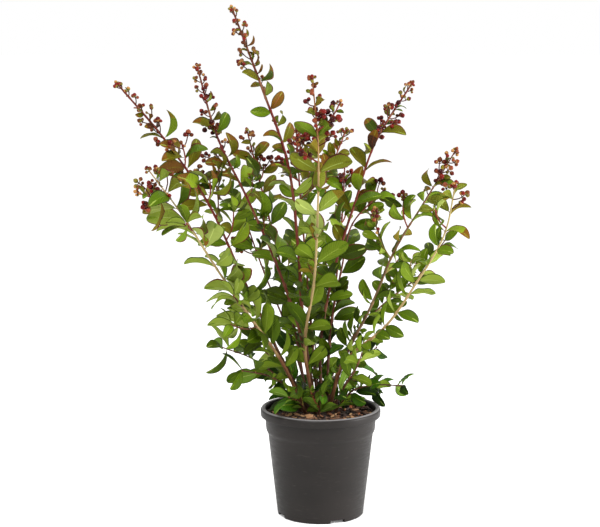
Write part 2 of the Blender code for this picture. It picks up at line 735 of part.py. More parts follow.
def box_shape(angle, distance, depth, width, bottom, top):
    """A block at a distance from the middle, turned to face outwards."""
    out = Vector((cos(angle), sin(angle), 0))
    beside = Vector((-sin(angle), cos(angle), 0))
    corners = []
    for height in (bottom, top):
        for near, across in ((-1, -1), (1, -1), (1, 1), (-1, 1)):
            place = out * (distance + near * depth / 2) + beside * (across * width / 2)
            corners.append(place + UP * height)
    faces = [(3, 2, 1, 0), (4, 5, 6, 7)]
    for side in range(4):
        beside = (side + 1) % 4
        faces.append((side, beside, beside + 4, side + 4))
    return corners, faces


def material(name, colour, roughness):
    """A plain finish."""
    made = bpy.data.materials.new(name)
    made.use_nodes = True
    shader = made.node_tree.nodes["Principled BSDF"]
    shader.inputs["Base Color"].default_value = (*colour, 1.0)
    shader.inputs["Roughness"].default_value = roughness
    shader.inputs["Metallic"].default_value = 0.0
    return made


def solid(name, shape, finish, collection=None):
    """An object from corners and faces."""
    mesh = bpy.data.meshes.new(name)
    mesh.from_pydata([tuple(corner) for corner in shape[0]], [], shape[1])
    mesh.materials.append(finish)
    obj = bpy.data.objects.new(name, mesh)
    (collection or bpy.context.scene.collection).objects.link(obj)
    return obj


def applied(obj):
    """Replaces an object's mesh by what its modifiers make of it."""
    graph = bpy.context.evaluated_depsgraph_get()
    mesh = bpy.data.meshes.new_from_object(obj.evaluated_get(graph))
    old = obj.data
    obj.modifiers.clear()
    obj.data = mesh
    bpy.data.meshes.remove(old)


def joined(obj, collection, operation, solver="EXACT"):
    """One Boolean with a whole collection, applied, after which the collection is removed."""
    modifier = obj.modifiers.new("join", "BOOLEAN")
    modifier.operation = operation
    modifier.operand_type = "COLLECTION"
    modifier.collection = collection
    modifier.solver = solver
    applied(obj)
    for part in list(collection.objects):
        mesh = part.data
        bpy.data.objects.remove(part)
        bpy.data.meshes.remove(mesh)
    bpy.data.collections.remove(collection)


def gathered(name):
    """A collection in the scene for the parts of one Boolean."""
    collection = bpy.data.collections.new(name)
    bpy.context.scene.collection.children.link(collection)
    return collection


def make_pot(finish):
    """The pot, with notches cut through its foot and drain holes through its floor."""
    pot = solid("pot", turned(pot_outline(), POT_SIDES), finish)
    cutters = gathered("pot cutters")
    middle = (FOOT_INNER_RADIUS + FOOT_RADIUS) / 2
    for index in range(NOTCH_COUNT):
        angle = NOTCH_TURN + 2 * pi * index / NOTCH_COUNT
        notch = box_shape(angle, middle, 0.016, NOTCH_WIDTH, -0.002, NOTCH_HEIGHT)
        solid(f"notch_{index}", notch, finish, cutters)
    for index in range(DRAIN_COUNT):
        angle = NOTCH_TURN + 2 * pi * (index + 0.5) / DRAIN_COUNT
        centre = Vector((DRAIN_CIRCLE * cos(angle), DRAIN_CIRCLE * sin(angle), 0))
        heights = (centre + UP * 0.002, centre + UP * 0.007, centre + UP * 0.012)
        post = Shoot(heights, DRAIN_RADIUS, DRAIN_RADIUS, 1)
        solid(f"drain_{index}", tube(post, 0.0, post.length, DRAIN_SIDES), finish, cutters)
    joined(pot, cutters, "DIFFERENCE")
    pot.data.shade_smooth()
    pot.data.set_sharp_from_angle(angle=radians(30))


def make_stem(mass, finish):
    """The bare foot of a stem, cut level on the growing medium and square at its top."""
    ground = SOIL_TOP + CLEARANCE
    shape = tube(mass.main, 0.0, mass.plan.bare, STEM_SIDES, ground=ground)
    obj = solid(f"stem_{mass.name}", shape, finish)
    obj.data.shade_smooth()
    obj.data.set_sharp_from_angle(angle=radians(50))


def make_foliage(mass, finish):
    """A mass: its shoots, branchlets, leaves and buds, fused into one solid."""
    shoots = [growth.shoot for growth in mass.growths]
    ground = None if mass.plan.bare else SOIL_TOP + CLEARANCE
    shape = tube(mass.main, mass.main.start, mass.main.length, TWIG_SIDES, ground=ground)
    obj = solid(f"foliage_{mass.name}", shape, finish)
    parts = gathered(f"parts of {mass.name}")
    for index, shoot in enumerate(shoots[1:]):
        solid(f"twig_{index}", tube(shoot, 0.0, shoot.length, TWIG_SIDES), finish, parts)
    for index, leaf in enumerate(mass.leaves):
        solid(f"leaf_{index}", leaf_shape(leaf), finish, parts)
    for index, cluster in enumerate(mass.clusters):
        solid(f"cluster_{index}", cluster_shape(cluster), finish, parts)
    joined(obj, parts, "UNION")


def clear_scene():
    """Starts from an empty scene."""
    for obj in list(bpy.data.objects):
        bpy.data.objects.remove(obj)


def main():
    """Builds the pot, what fills it, the stems and the foliage masses."""
    clear_scene()
    plastic = material("pot_plastic", (0.045, 0.043, 0.040), 0.55)
    medium = material("bark_medium", (0.075, 0.038, 0.022), 0.9)
    wood = material("stem_bark", (0.22, 0.12, 0.07), 0.65)
    foliage = material("foliage", (0.10, 0.20, 0.035), 0.5)
    make_pot(plastic)
    solid("growing_medium", growing_medium_shape(), medium)
    for mass in grow_plant():
        if mass.plan.bare:
            make_stem(mass, wood)
        make_foliage(mass, foliage)


if __name__ == "__main__":
    main()
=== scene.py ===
"""Looks of the young potted crape myrtle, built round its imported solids.

Metres, +Z up. The plant grows here by the same seeded rule as its solids do, so every
shoot, leaf and bud cluster stands where its solid has it. Then the rule goes on to finer
twigs, small leaves, bracts and single buds, all within the solids' reach.
"""

import json
import random
from bisect import bisect_right
from collections import namedtuple
from math import cos, exp, log, pi, radians, sin, sqrt

import bpy
import numpy as np
from mathutils import Matrix, Quaternion, Vector, noise
from mathutils.bvhtree import BVHTree

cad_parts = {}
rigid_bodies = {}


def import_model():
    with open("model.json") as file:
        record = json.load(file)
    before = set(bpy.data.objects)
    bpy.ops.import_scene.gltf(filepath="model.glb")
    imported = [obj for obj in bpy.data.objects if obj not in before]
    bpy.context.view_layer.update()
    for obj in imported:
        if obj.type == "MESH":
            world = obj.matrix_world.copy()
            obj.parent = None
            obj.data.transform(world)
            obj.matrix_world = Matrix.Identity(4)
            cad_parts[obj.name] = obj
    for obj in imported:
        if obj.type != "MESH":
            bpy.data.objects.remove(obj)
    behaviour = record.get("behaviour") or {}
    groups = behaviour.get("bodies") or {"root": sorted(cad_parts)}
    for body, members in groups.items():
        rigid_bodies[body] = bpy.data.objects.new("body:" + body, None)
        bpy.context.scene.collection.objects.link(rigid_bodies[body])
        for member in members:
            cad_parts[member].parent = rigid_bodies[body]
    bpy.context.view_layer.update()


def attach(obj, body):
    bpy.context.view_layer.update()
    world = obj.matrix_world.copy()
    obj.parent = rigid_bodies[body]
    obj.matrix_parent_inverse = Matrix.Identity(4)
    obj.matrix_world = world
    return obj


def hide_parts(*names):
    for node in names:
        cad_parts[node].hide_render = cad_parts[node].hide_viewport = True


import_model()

# Gap between neighbouring solids
CLEARANCE = 0.0003

# Pot, a turned shell
POT_SIDES = 32
POT_HEIGHT = 0.172
RIM_RADIUS = 0.095
RIM_INNER_RADIUS = 0.0868
RIM_BOTTOM = 0.1592
RIM_THICKNESS = 0.0016
COLLAR_TOP_RADIUS = 0.0880
STEP_TOP = (0.0863, 0.1370)
STEP_BOTTOM = (0.0832, 0.1310)
WALL_THICKNESS = 0.0015
FOOT_RADIUS = 0.0680
FOOT_INNER_RADIUS = 0.0605
FOOT_ROUNDING = 0.0013
PAD_RADIUS = 0.018
RECESS_HEIGHT = 0.0058
FLOOR_TOP = 0.0074

# Notches in the foot and drain holes in the floor
NOTCH_COUNT = 4
NOTCH_TURN = radians(-67)
NOTCH_WIDTH = 0.024
NOTCH_HEIGHT = 0.0054
DRAIN_COUNT = 8
DRAIN_RADIUS = 0.005
DRAIN_CIRCLE = 0.050
DRAIN_SIDES = 24
DRAIN_HEIGHTS = (0.002, 0.007, 0.012)

# Growing medium
SOIL_TOP = 0.164
SOIL_FLAT_RADIUS = 0.040
SOIL_UNEVENNESS = 0.0012

# Stems and twigs
STEM_SIDES = 6
TWIG_SIDES = 3
RING_GAP = 0.030
TAPER = 0.85
FOOT_FLARE = 1.3
FLARE_LENGTH = 0.020
TWIG_TIP_RADIUS = 0.0011
SIDE_TWIG_RADIUS = 0.0013
BRANCHLET_RADIUS = 0.0006
SIDE_ROOT = 0.006
SIDE_GAP = (0.019, 0.015)
SIDE_STEP = 90
SIDE_LEAF = 0.84
FIRST_LEAF = 0.008
SIDE_FIRST_LEAF = 0.013
SIDE_TIP_LEAF = 0.75
SIDE_SPREADS = (56, 42, 30)

# Side twigs that the seeded rule adds between a bare stem and its tip
SIDE_START = 0.05
SIDE_END = 0.02
NODE_GAP = 0.022
BRANCHING = 0.08
SIDE_LENGTHS = (0.055, 0.035)
SIDE_BUDS = 0.014
BUDDED_FROM = 0.6

# Leaves
LEAF_WIDTH = 0.46
LEAF_FOLD = 0.09
LEAF_THICKNESS = 0.022
KEEL_PLACE = 0.30
LARGE_LEAF = 0.058
SMALL_STATIONS = ((0.60, 1.0),)
LARGE_STATIONS = ((0.46, 0.94), (0.80, 0.84))
LOW_SPREAD = 66
HIGH_SPREAD = 64
LIFT = 0.10
UPPER_SIDE_TURN = 32
FACE_UP = 0.55
FACE_INWARD = 0.95
INWARD_REACH = 0.05
ROLL = 38
SWING = 22
SPREAD_CHANGE = 11
LEAF_TRIES = 8
SHORTENING = 0.975
SPARE = 0.0006
TIP_NODE = 0.0015
TIP_LEAF = 0.8

# From which share of its length a leaf keeps clear of its own mass and of others, and takes room
BLADE_FROM = 0.22
WHOLE_FROM = 0.05
TAKEN_FROM = 0.12

# Buds, which stand in clusters, each size from the foot of a flower head to its tip
BUD_RADIUS = 0.0040
CLUSTER_WIDTH = 1.5
CROWN_LENGTH = 0.007
PAIRING = 0.85
BRANCHLET_TURN = 65
BRANCHLET_BEND = 0.6
BRANCHLET_LENGTHS = (0.027, 0.008)
BUD_SIZES = (1.0, 0.76)
BUD_COUNTS = (4.4, 2.0)
FLOWER_GAPS = (0.023, 0.014)
FLOWER_END = 0.008
LONG_RACEME = 0.02
LEAFY_SHARE = 0.2
BRACT_SHARE = 0.65
BRACT_GAP = 0.016
LARGEST_BRACT = 0.72
SMALLEST_BRACT = 0.012

# Leaves are smaller and closer low down in the middle of the crown
SMALL_SHARE = 0.55
SMALL_HEIGHTS = (0.20, 0.38)
SMALL_REACHES = (0.05, 0.13)

UP = Vector((0, 0, 1))
RIGHT = Vector((1, 0, 0))
CELL = 0.05

Side = namedtuple("Side", "at turn length raceme")
Stem = namedtuple("Stem", "name points foot bare raceme leaf gap turn step seed sides")
Leaf = namedtuple("Leaf", "root heading face length")
Cluster = namedtuple("Cluster", "twig radius count")
Growth = namedtuple("Growth", "shoot first last low high gap turn step raceme")


def stem(name, points, foot=0.0032, bare=0.09, raceme=0.0, leaf=(0.060, 0.036),
         gap=(0.048, 0.026), turn=0, step=84, seed=1, sides=()):
    """A stem's places from foot to tip, its foot's radius, its bare length and how it grows."""
    return Stem(name, points, foot, bare, raceme, leaf, gap, turn, step, seed, sides)


# Other steps between leaf pairs
CLOSE_GAP = (0.042, 0.022)
NEAR_GAP = (0.034, 0.026)
WIDE_GAP = (0.058, 0.033)
WIDER_GAP = (0.074, 0.044)

# Stems from the left round to the right, each through six places at even steps
STEMS = (
    stem("front_left",
         ((-0.023, -0.012, 0.164), (-0.062, -0.038, 0.254), (-0.113, -0.071, 0.334),
          (-0.161, -0.108, 0.414), (-0.204, -0.148, 0.492), (-0.251, -0.190, 0.565)),
         bare=0.08, raceme=0.05, leaf=(0.068, 0.056), gap=(0.033, 0.026), turn=4, step=12, seed=124,
         sides=(Side(0.44, 200, 0.05, 0.03),)),
    stem("far_left",
         ((-0.018, 0.004, 0.164), (-0.074, 0.006, 0.274), (-0.126, 0.009, 0.385),
          (-0.175, 0.013, 0.492), (-0.242, 0.016, 0.592), (-0.317, 0.020, 0.681)),
         bare=0.12, raceme=0.13, leaf=(0.064, 0.044), turn=60, seed=154,
         sides=(Side(0.34, 60, 0.06, 0.0),)),
    stem("left",
         ((-0.012, 0.014, 0.164), (-0.031, 0.028, 0.279), (-0.068, 0.046, 0.388),
          (-0.115, 0.066, 0.493), (-0.166, 0.087, 0.596), (-0.198, 0.110, 0.706)),
         bare=0.12, raceme=0.13, leaf=(0.062, 0.043), gap=WIDER_GAP, turn=80, seed=188),
    stem("tall",
         ((-0.007, 0.002, 0.164), (-0.027, 0.009, 0.298), (-0.036, 0.018, 0.428),
          (-0.052, 0.028, 0.557), (-0.094, 0.039, 0.678), (-0.139, 0.050, 0.797)),
         foot=0.0036, bare=0.13, raceme=0.115, leaf=(0.060, 0.034), gap=CLOSE_GAP, turn=0, seed=90,
         sides=(Side(0.33, 20, 0.15, 0.04),)),
    stem("front",
         ((-0.007, -0.016, 0.164), (-0.025, -0.037, 0.275), (-0.011, -0.064, 0.384),
          (-0.006, -0.094, 0.491), (-0.006, -0.126, 0.595), (-0.015, -0.160, 0.694)),
         bare=0.075, raceme=0.11, leaf=(0.066, 0.047), turn=0, seed=28,
         sides=(Side(0.42, 180, 0.045, 0.035), Side(0.47, 10, 0.055, 0.045))),
    stem("right",
         ((0.001, 0.012, 0.164), (0.001, 0.031, 0.273), (0.021, 0.055, 0.379),
          (0.054, 0.081, 0.483), (0.090, 0.110, 0.585), (0.150, 0.140, 0.678)),
         bare=0.12, raceme=0.12, leaf=(0.060, 0.043), turn=80, seed=52),
    stem("far_right",
         ((0.009, 0.000, 0.164), (0.040, 0.000, 0.254), (0.081, 0.000, 0.338),
          (0.116, 0.000, 0.423), (0.163, 0.000, 0.501), (0.209, 0.000, 0.579)),
         bare=0.08, raceme=0.07, leaf=(0.056, 0.042), turn=60, seed=162,
         sides=(Side(0.265, 190, 0.085, 0.03), Side(0.32, 150, 0.05, 0.012))),
    stem("low_right",
         ((0.012, -0.010, 0.164), (0.037, -0.027, 0.249), (0.099, -0.050, 0.310),
          (0.145, -0.075, 0.383), (0.183, -0.102, 0.458), (0.197, -0.130, 0.539)),
         bare=0.08, raceme=0.03, leaf=(0.050, 0.040), gap=NEAR_GAP, turn=0, step=30, seed=137),
    stem("inner_right",
         ((0.014, 0.006, 0.164), (0.012, 0.030, 0.235), (0.019, 0.050, 0.308),
          (0.034, 0.072, 0.380), (0.052, 0.095, 0.452), (0.104, 0.120, 0.505)),
         foot=0.0026, bare=0.08, raceme=0.02, leaf=(0.058, 0.043), turn=20, seed=150),
    stem("thin_right",
         ((0.018, 0.014, 0.164), (0.028, 0.028, 0.226), (0.058, 0.048, 0.284),
          (0.107, 0.071, 0.329), (0.162, 0.095, 0.369), (0.205, 0.120, 0.423)),
         foot=0.0022, bare=0.09, leaf=(0.046, 0.038), gap=NEAR_GAP, turn=0, seed=71),
    stem("back",
         ((-0.004, 0.022, 0.164), (-0.012, 0.080, 0.255), (-0.019, 0.125, 0.343),
          (-0.027, 0.163, 0.430), (-0.034, 0.195, 0.515), (-0.039, 0.215, 0.597)),
         foot=0.0030, bare=0.10, raceme=0.08, leaf=(0.060, 0.042), gap=CLOSE_GAP, turn=60, seed=5),
    stem("back_left",
         ((-0.020, 0.022, 0.164), (-0.036, 0.070, 0.255), (-0.055, 0.110, 0.343),
          (-0.077, 0.145, 0.430), (-0.100, 0.173, 0.517), (-0.121, 0.195, 0.598)),
         foot=0.0028, bare=0.10, raceme=0.07, leaf=(0.060, 0.042), gap=CLOSE_GAP, turn=40, seed=184),
    stem("back_right",
         ((0.008, 0.022, 0.164), (0.015, 0.078, 0.245), (0.024, 0.125, 0.322),
          (0.032, 0.163, 0.395), (0.039, 0.195, 0.467), (0.043, 0.220, 0.538)),
         foot=0.0028, bare=0.10, raceme=0.05, leaf=(0.058, 0.042), gap=WIDE_GAP, turn=80, seed=165),
    stem("rear_left",
         ((-0.014, 0.030, 0.164), (-0.036, 0.080, 0.230), (-0.062, 0.128, 0.295),
          (-0.090, 0.172, 0.355), (-0.114, 0.212, 0.414), (-0.135, 0.245, 0.476)),
         foot=0.0024, bare=0.09, leaf=(0.058, 0.044), gap=WIDE_GAP, turn=40, seed=71),
)

# Step between the leaf pairs of the short shoots
LOW_GAP = (0.038, 0.034)
WIDE_LOW_GAP = (0.054, 0.048)

# Short shoots that leaf right from the growing medium
BASALS = (
    stem("basal_left_low",
         ((-0.030, -0.004, 0.164), (-0.048, -0.018, 0.203), (-0.079, -0.038, 0.229),
          (-0.122, -0.060, 0.243)),
         foot=0.0015, bare=0.0, leaf=(0.056, 0.052), gap=WIDE_LOW_GAP, turn=40, seed=138),
    stem("basal_left",
         ((-0.028, 0.008, 0.164), (-0.064, 0.002, 0.216), (-0.107, 0.000, 0.249),
          (-0.156, 0.000, 0.268)),
         foot=0.0016, bare=0.0, leaf=(0.054, 0.050), gap=LOW_GAP, turn=20, seed=18),
    stem("basal_front_right",
         ((0.012, -0.020, 0.164), (0.035, -0.048, 0.212), (0.052, -0.070, 0.245),
          (0.062, -0.088, 0.276)),
         foot=0.0014, bare=0.0, leaf=(0.046, 0.036), gap=LOW_GAP, turn=0, seed=154),
    stem("basal_right",
         ((0.022, -0.004, 0.164), (0.050, -0.012, 0.200), (0.090, -0.022, 0.212),
          (0.127, -0.030, 0.212)),
         foot=0.0014, bare=0.0, leaf=(0.044, 0.036), gap=LOW_GAP, turn=20, seed=12),
    stem("basal_right_low",
         ((0.024, 0.008, 0.164), (0.048, 0.026, 0.190), (0.074, 0.042, 0.196),
          (0.097, 0.056, 0.190)),
         foot=0.0013, bare=0.0, leaf=(0.042, 0.036), gap=LOW_GAP, turn=80, seed=76),
    stem("basal_front_left",
         ((-0.022, -0.022, 0.164), (-0.032, -0.042, 0.188), (-0.042, -0.058, 0.199),
          (-0.050, -0.070, 0.203)),
         foot=0.0013, bare=0.0, leaf=(0.044, 0.042), gap=LOW_GAP, turn=0, seed=104),
    stem("basal_front",
         ((-0.003, -0.032, 0.164), (-0.002, -0.046, 0.184), (0.000, -0.056, 0.196),
          (0.002, -0.064, 0.204)),
         foot=0.0013, bare=0.0, leaf=(0.038, 0.036), gap=WIDE_LOW_GAP, turn=0, seed=93),
    stem("basal_back_left",
         ((-0.026, 0.032, 0.164), (-0.050, 0.060, 0.205), (-0.080, 0.090, 0.234),
          (-0.112, 0.118, 0.256)),
         foot=0.0015, bare=0.0, leaf=(0.050, 0.044), gap=LOW_GAP, turn=20, seed=170),
    stem("basal_back",
         ((-0.002, 0.036, 0.164), (-0.004, 0.068, 0.204), (-0.006, 0.100, 0.232),
          (-0.008, 0.132, 0.252)),
         foot=0.0015, bare=0.0, leaf=(0.050, 0.044), gap=LOW_GAP, turn=80, seed=49),
    stem("basal_back_right",
         ((0.022, 0.028, 0.164), (0.044, 0.058, 0.202), (0.068, 0.086, 0.228),
          (0.094, 0.114, 0.246)),
         foot=0.0015, bare=0.0, leaf=(0.048, 0.042), gap=LOW_GAP, turn=40, seed=192),
)


def mix(first, second, share):
    """A value that share of the way from the first to the second."""
    return first + (second - first) * share


def spline(points, steps):
    """A smooth curve through every point, as a list of places."""
    places = [Vector(point) for point in points]
    before = places[0] * 2 - places[1]
    after = places[-1] * 2 - places[-2]
    guides = [before] + places + [after]
    curve = []
    for a, b, c, d in zip(guides, guides[1:], guides[2:], guides[3:]):
        for step in range(steps):
            t = step / steps
            pull = (c - a) * t
            bend = (a * 2 - b * 5 + c * 4 - d) * t ** 2
            twist = (b * 3 - a - c * 3 + d) * t ** 3
            curve.append((b * 2 + pull + bend + twist) / 2)
    curve.append(places[-1])
    return curve


def ring_places(start, end, gap):
    """The distances of a tube's rings, at even steps near this gap."""
    count = max(1, round((end - start) / gap))
    return [mix(start, end, ring / count) for ring in range(count + 1)]


class Shoot:
    """A stem or twig on its curve, walked by length, with its taper."""

    def __init__(self, points, foot_radius, tip_radius, steps=12, start=0.0):
        self.marks = spline(points, steps)
        self.lengths = [0.0]
        for before, after in zip(self.marks, self.marks[1:]):
            self.lengths.append(self.lengths[-1] + (after - before).length)
        self.length = self.lengths[-1]
        self.foot_radius = foot_radius
        self.tip_radius = tip_radius
        self.start = start
        self.rings = ring_places(start, self.length, RING_GAP)

    def point(self, distance):
        """The place at this distance from the foot."""
        index = min(max(bisect_right(self.lengths, distance) - 1, 0), len(self.marks) - 2)
        span = self.lengths[index + 1] - self.lengths[index]
        return self.marks[index].lerp(self.marks[index + 1], (distance - self.lengths[index]) / span)

    def core(self, distance):
        """The place at this distance in the middle of the solid, which is straight between its rings."""
        index = min(max(bisect_right(self.rings, distance) - 1, 0), len(self.rings) - 2)
        low, high = self.rings[index], self.rings[index + 1]
        return self.point(low).lerp(self.point(high), (distance - low) / (high - low))

    def heading(self, distance):
        """The way the shoot runs at this distance."""
        reach = self.length * 0.02
        start = max(distance - reach, 0.0)
        end = min(distance + reach, self.length)
        return (self.point(end) - self.point(start)).normalized()

    def outward(self, distance, turn):
        """The way out of the shoot's side at an angle round it, 0 being the plant's right."""
        heading = self.heading(distance)
        right = (RIGHT - heading * heading.x).normalized()
        return right * cos(turn) + heading.cross(right) * sin(turn)

    def radius(self, distance):
        """Half the shoot's thickness at this distance."""
        share = min(distance / self.length, 1.0) ** TAPER
        return mix(self.foot_radius, self.tip_radius, share)


def clamp(share):
    """A share kept between 0 and 1."""
    return min(max(share, 0.0), 1.0)


def way(value, low, high):
    """How far a value is on its way from low to high, between 0 and 1."""
    return clamp((value - low) / (high - low))


def reach_of(place):
    """How far a place is from the upright line through the pot's middle."""
    return sqrt(place.x ** 2 + place.y ** 2)


def ring_faces(rings, sides):
    """The faces of a tube of this many rings, closed at both ends."""
    faces = [tuple(reversed(range(sides)))]
    for ring in range(rings - 1):
        below = ring * sides
        above = below + sides
        for side in range(sides):
            beside = (side + 1) % sides
            faces.append((below + side, below + beside, above + beside, above + side))
    faces.append(tuple(range((rings - 1) * sides, rings * sides)))
    return faces


def tube(shoot, start, end, sides, ring_gap=RING_GAP, spare=0.0):
    """A tapering tube round part of a shoot."""
    places = ring_places(start, end, ring_gap)
    corners = []
    for distance in places:
        radius = shoot.radius(distance) + spare
        centre = shoot.point(distance)
        for side in range(sides):
            corners.append(centre + shoot.outward(distance, 2 * pi * side / sides) * radius)
    return corners, ring_faces(len(places), sides)


def leaf_shape(leaf, start, spare=0.0):
    """A leaf folded along its midrib, with a keel under it, that narrows to its root and its tip."""
    side = leaf.heading.cross(leaf.face)
    half_width = leaf.length * LEAF_WIDTH / 2 + spare
    root = leaf.root + leaf.heading * (leaf.length * start)
    keel = leaf.root + leaf.heading * (leaf.length * (KEEL_PLACE + start))
    keel -= leaf.face * (leaf.length * LEAF_THICKNESS + spare)
    tip = leaf.root + leaf.heading * leaf.length
    corners = [root + leaf.face * spare, keel, tip]
    stations = SMALL_STATIONS if leaf.length < LARGE_LEAF else LARGE_STATIONS
    for along, width in stations:
        middle = leaf.root + leaf.heading * (leaf.length * along)
        middle += leaf.face * (leaf.length * LEAF_FOLD * width)
        corners += [middle + side * (half_width * width), middle - side * (half_width * width)]
    faces = [(0, 1, 3), (0, 4, 1)]
    right, left = 3, 4
    for further in range(5, len(corners), 2):
        faces += [(0, right, further), (0, further + 1, left)]
        faces += [(1, further, right), (1, left, further + 1)]
        right, left = further, further + 1
    faces += [(0, right, 2), (0, 2, left), (1, 2, right), (1, left, 2)]
    return corners, faces


class Space:
    """The room that is taken, in a grid of cells, so that no two masses touch."""

    def __init__(self):
        self.cells = {}

    def cells_of(self, corners):
        """The grid cells that a shape's box reaches."""
        spans = []
        for axis in range(3):
            values = [corner[axis] for corner in corners]
            spans.append(range(int(min(values) // CELL), int(max(values) // CELL) + 1))
        return [(x, y, z) for x in spans[0] for y in spans[1] for z in spans[2]]

    def add(self, owner, shape):
        """Takes the room of a shape for its owner."""
        tree = BVHTree.FromPolygons(*shape)
        for cell in self.cells_of(shape[0]):
            self.cells.setdefault(cell, []).append((owner, tree))

    def meets(self, shape, owner, own):
        """Whether a shape touches what its owner has, or what others have."""
        tree = BVHTree.FromPolygons(*shape)
        seen = set()
        for cell in self.cells_of(shape[0]):
            for holder, taken in self.cells.get(cell, ()):
                if id(taken) in seen or (holder == owner) != own:
                    continue
                seen.add(id(taken))
                if tree.overlap(taken):
                    return True
        return False

    def blocked(self, shape, owner):
        """Whether a shape touches anything at all."""
        return self.meets(shape, owner, False) or self.meets(shape, owner, True)


class Mass:
    """What grows from one stem: its main shoot, side twigs, leaves and buds."""

    def __init__(self, plan):
        self.plan = plan
        self.name = plan.name
        start = plan.bare + CLEARANCE if plan.bare else 0.0
        self.main = Shoot(plan.points, plan.foot, TWIG_TIP_RADIUS, start=start)
        self.growths = []
        self.leaves = []
        self.clusters = []

    def dice(self, *key):
        """Random numbers of their own for each thing that grows, the same on every run."""
        words = [self.name, self.plan.seed, *key]
        return random.Random(" ".join(str(word) for word in words))


def walk(mass, key, start, end, gap):
    """Places up a shoot, each with dice of its own. Gap is a number, or finds each step."""
    distance = start
    index = 0
    while distance < end:
        dice = mass.dice(*key, index)
        yield distance, dice
        distance += gap(distance, dice) if callable(gap) else gap
        index += 1


def side_shoot(parent, at, turn, length):
    """A twig that leaves its parent's side and bends up along it."""
    heading = parent.heading(at)
    out = parent.outward(at, radians(turn))
    points = [parent.core(at)]
    for spread in SIDE_SPREADS:
        onward = heading * cos(radians(spread)) + out * sin(radians(spread))
        points.append(points[-1] + onward * (length / len(SIDE_SPREADS)))
    return Shoot(points, SIDE_TWIG_RADIUS, TWIG_TIP_RADIUS, 6)


def add_side(mass, space, side):
    """Grows one side twig where there is room for it."""
    twig = side_shoot(mass.main, side.at, side.turn, side.length)
    shape = tube(twig, SIDE_ROOT, twig.length, TWIG_SIDES, spare=SPARE)
    if space.blocked(shape, mass.name):
        return
    space.add(mass.name, shape)
    share = side.at / mass.main.length
    low = mix(*mass.plan.leaf, share) * SIDE_LEAF
    high = low * SIDE_TIP_LEAF
    last = twig.length - side.raceme
    turn = side.turn + 90
    growth = Growth(twig, SIDE_FIRST_LEAF, last, low, high, SIDE_GAP, turn, SIDE_STEP, side.raceme)
    mass.growths.append(growth)


def branch(mass, space):
    """The main shoot's stated side twigs, then more where the seeded rule puts them."""
    plan = mass.plan
    last = mass.main.length - plan.raceme * (1 - LEAFY_SHARE)
    first = plan.bare + FIRST_LEAF
    growth = Growth(mass.main, first, last, *plan.leaf, plan.gap, plan.turn, plan.step, plan.raceme)
    mass.growths.append(growth)
    for side in plan.sides:
        add_side(mass, space, side)
    if not plan.bare:
        return
    for distance, dice in walk(mass, ("side",), plan.bare + SIDE_START, last - SIDE_END, NODE_GAP):
        chance = dice.random()
        share = (distance - plan.bare) / (last - plan.bare)
        length = mix(*SIDE_LENGTHS, share) * dice.uniform(0.8, 1.25)
        turn = dice.uniform(0, 360)
        budded = SIDE_BUDS if share > BUDDED_FROM and dice.random() < 0.5 else 0.0
        if chance < BRANCHING:
            add_side(mass, space, Side(distance, turn, length, budded))


def branchlet(shoot, distance, turn, length, spread):
    """A short curved stalk out of a flowering shoot."""
    heading = shoot.heading(distance)
    out = shoot.outward(distance, turn)
    root = shoot.core(distance)
    elbow = root + (heading * cos(spread) + out * sin(spread)) * (length / 2)
    bent = spread * BRANCHLET_BEND
    end = elbow + (heading * cos(bent) + out * sin(bent)) * (length / 2)
    return Shoot((root, elbow, end), BRANCHLET_RADIUS, BRANCHLET_RADIUS, 2)


def add_branchlet(mass, space, shoot, distance, turn, share, side, dice):
    """One branchlet with its buds, where there is room for them."""
    length = mix(*BRANCHLET_LENGTHS, share) * dice.uniform(0.7, 1.15)
    radius = BUD_RADIUS * mix(*BUD_SIZES, share) * dice.uniform(0.92, 1.08)
    spread = radians(dice.uniform(44, 70))
    count = max(1, round(mix(*BUD_COUNTS, share) + dice.uniform(-1.3, 0.8)))
    at = min(distance + side * dice.uniform(0.0, 0.005), shoot.length - 0.004)
    twig = branchlet(shoot, at, turn + pi * side + dice.uniform(-0.4, 0.4), length, spread)
    room = tube(twig, twig.length * 0.4, twig.length, 4, spare=radius * CLUSTER_WIDTH)
    if dice.random() < PAIRING and not space.meets(room, mass.name, False):
        space.add(mass.name, room)
        mass.clusters.append(Cluster(twig, radius, count))


def add_tip_buds(mass, growth):
    """The buds at the very tip of a flowering shoot."""
    shoot = growth.shoot
    marks = [
        shoot.core(shoot.length - CROWN_LENGTH),
        shoot.point(shoot.length - CROWN_LENGTH / 2),
        shoot.point(shoot.length),
    ]
    count = 6 if growth.raceme > LONG_RACEME else 4
    twig = Shoot(marks, BRANCHLET_RADIUS, BRANCHLET_RADIUS, 2)
    mass.clusters.append(Cluster(twig, BUD_RADIUS * 0.72, count))


def raceme_share(growth, distance):
    """How far up its flower head a place on a shoot is, between 0 and 1."""
    start = growth.shoot.length - growth.raceme
    return max((distance - start) / growth.raceme, 0.0)


def flower(mass, space, growth, order):
    """Clusters of buds on pairs of branchlets up the last stretch of a shoot, and one at its tip."""
    shoot = growth.shoot
    turn = radians(growth.turn)

    def gap(distance, dice):
        return mix(*FLOWER_GAPS, raceme_share(growth, distance)) * dice.uniform(0.85, 1.15)

    start = shoot.length - growth.raceme + 0.003
    nodes = walk(mass, ("flower node", order), start, shoot.length - FLOWER_END, gap)
    for index, (distance, node_dice) in enumerate(nodes):
        share = raceme_share(growth, distance)
        for side in range(2):
            dice = mass.dice("branchlet", order, index, side)
            add_branchlet(mass, space, shoot, distance, turn, share, side, dice)
        turn += radians(BRANCHLET_TURN) + node_dice.uniform(-0.3, 0.3)
    add_tip_buds(mass, growth)


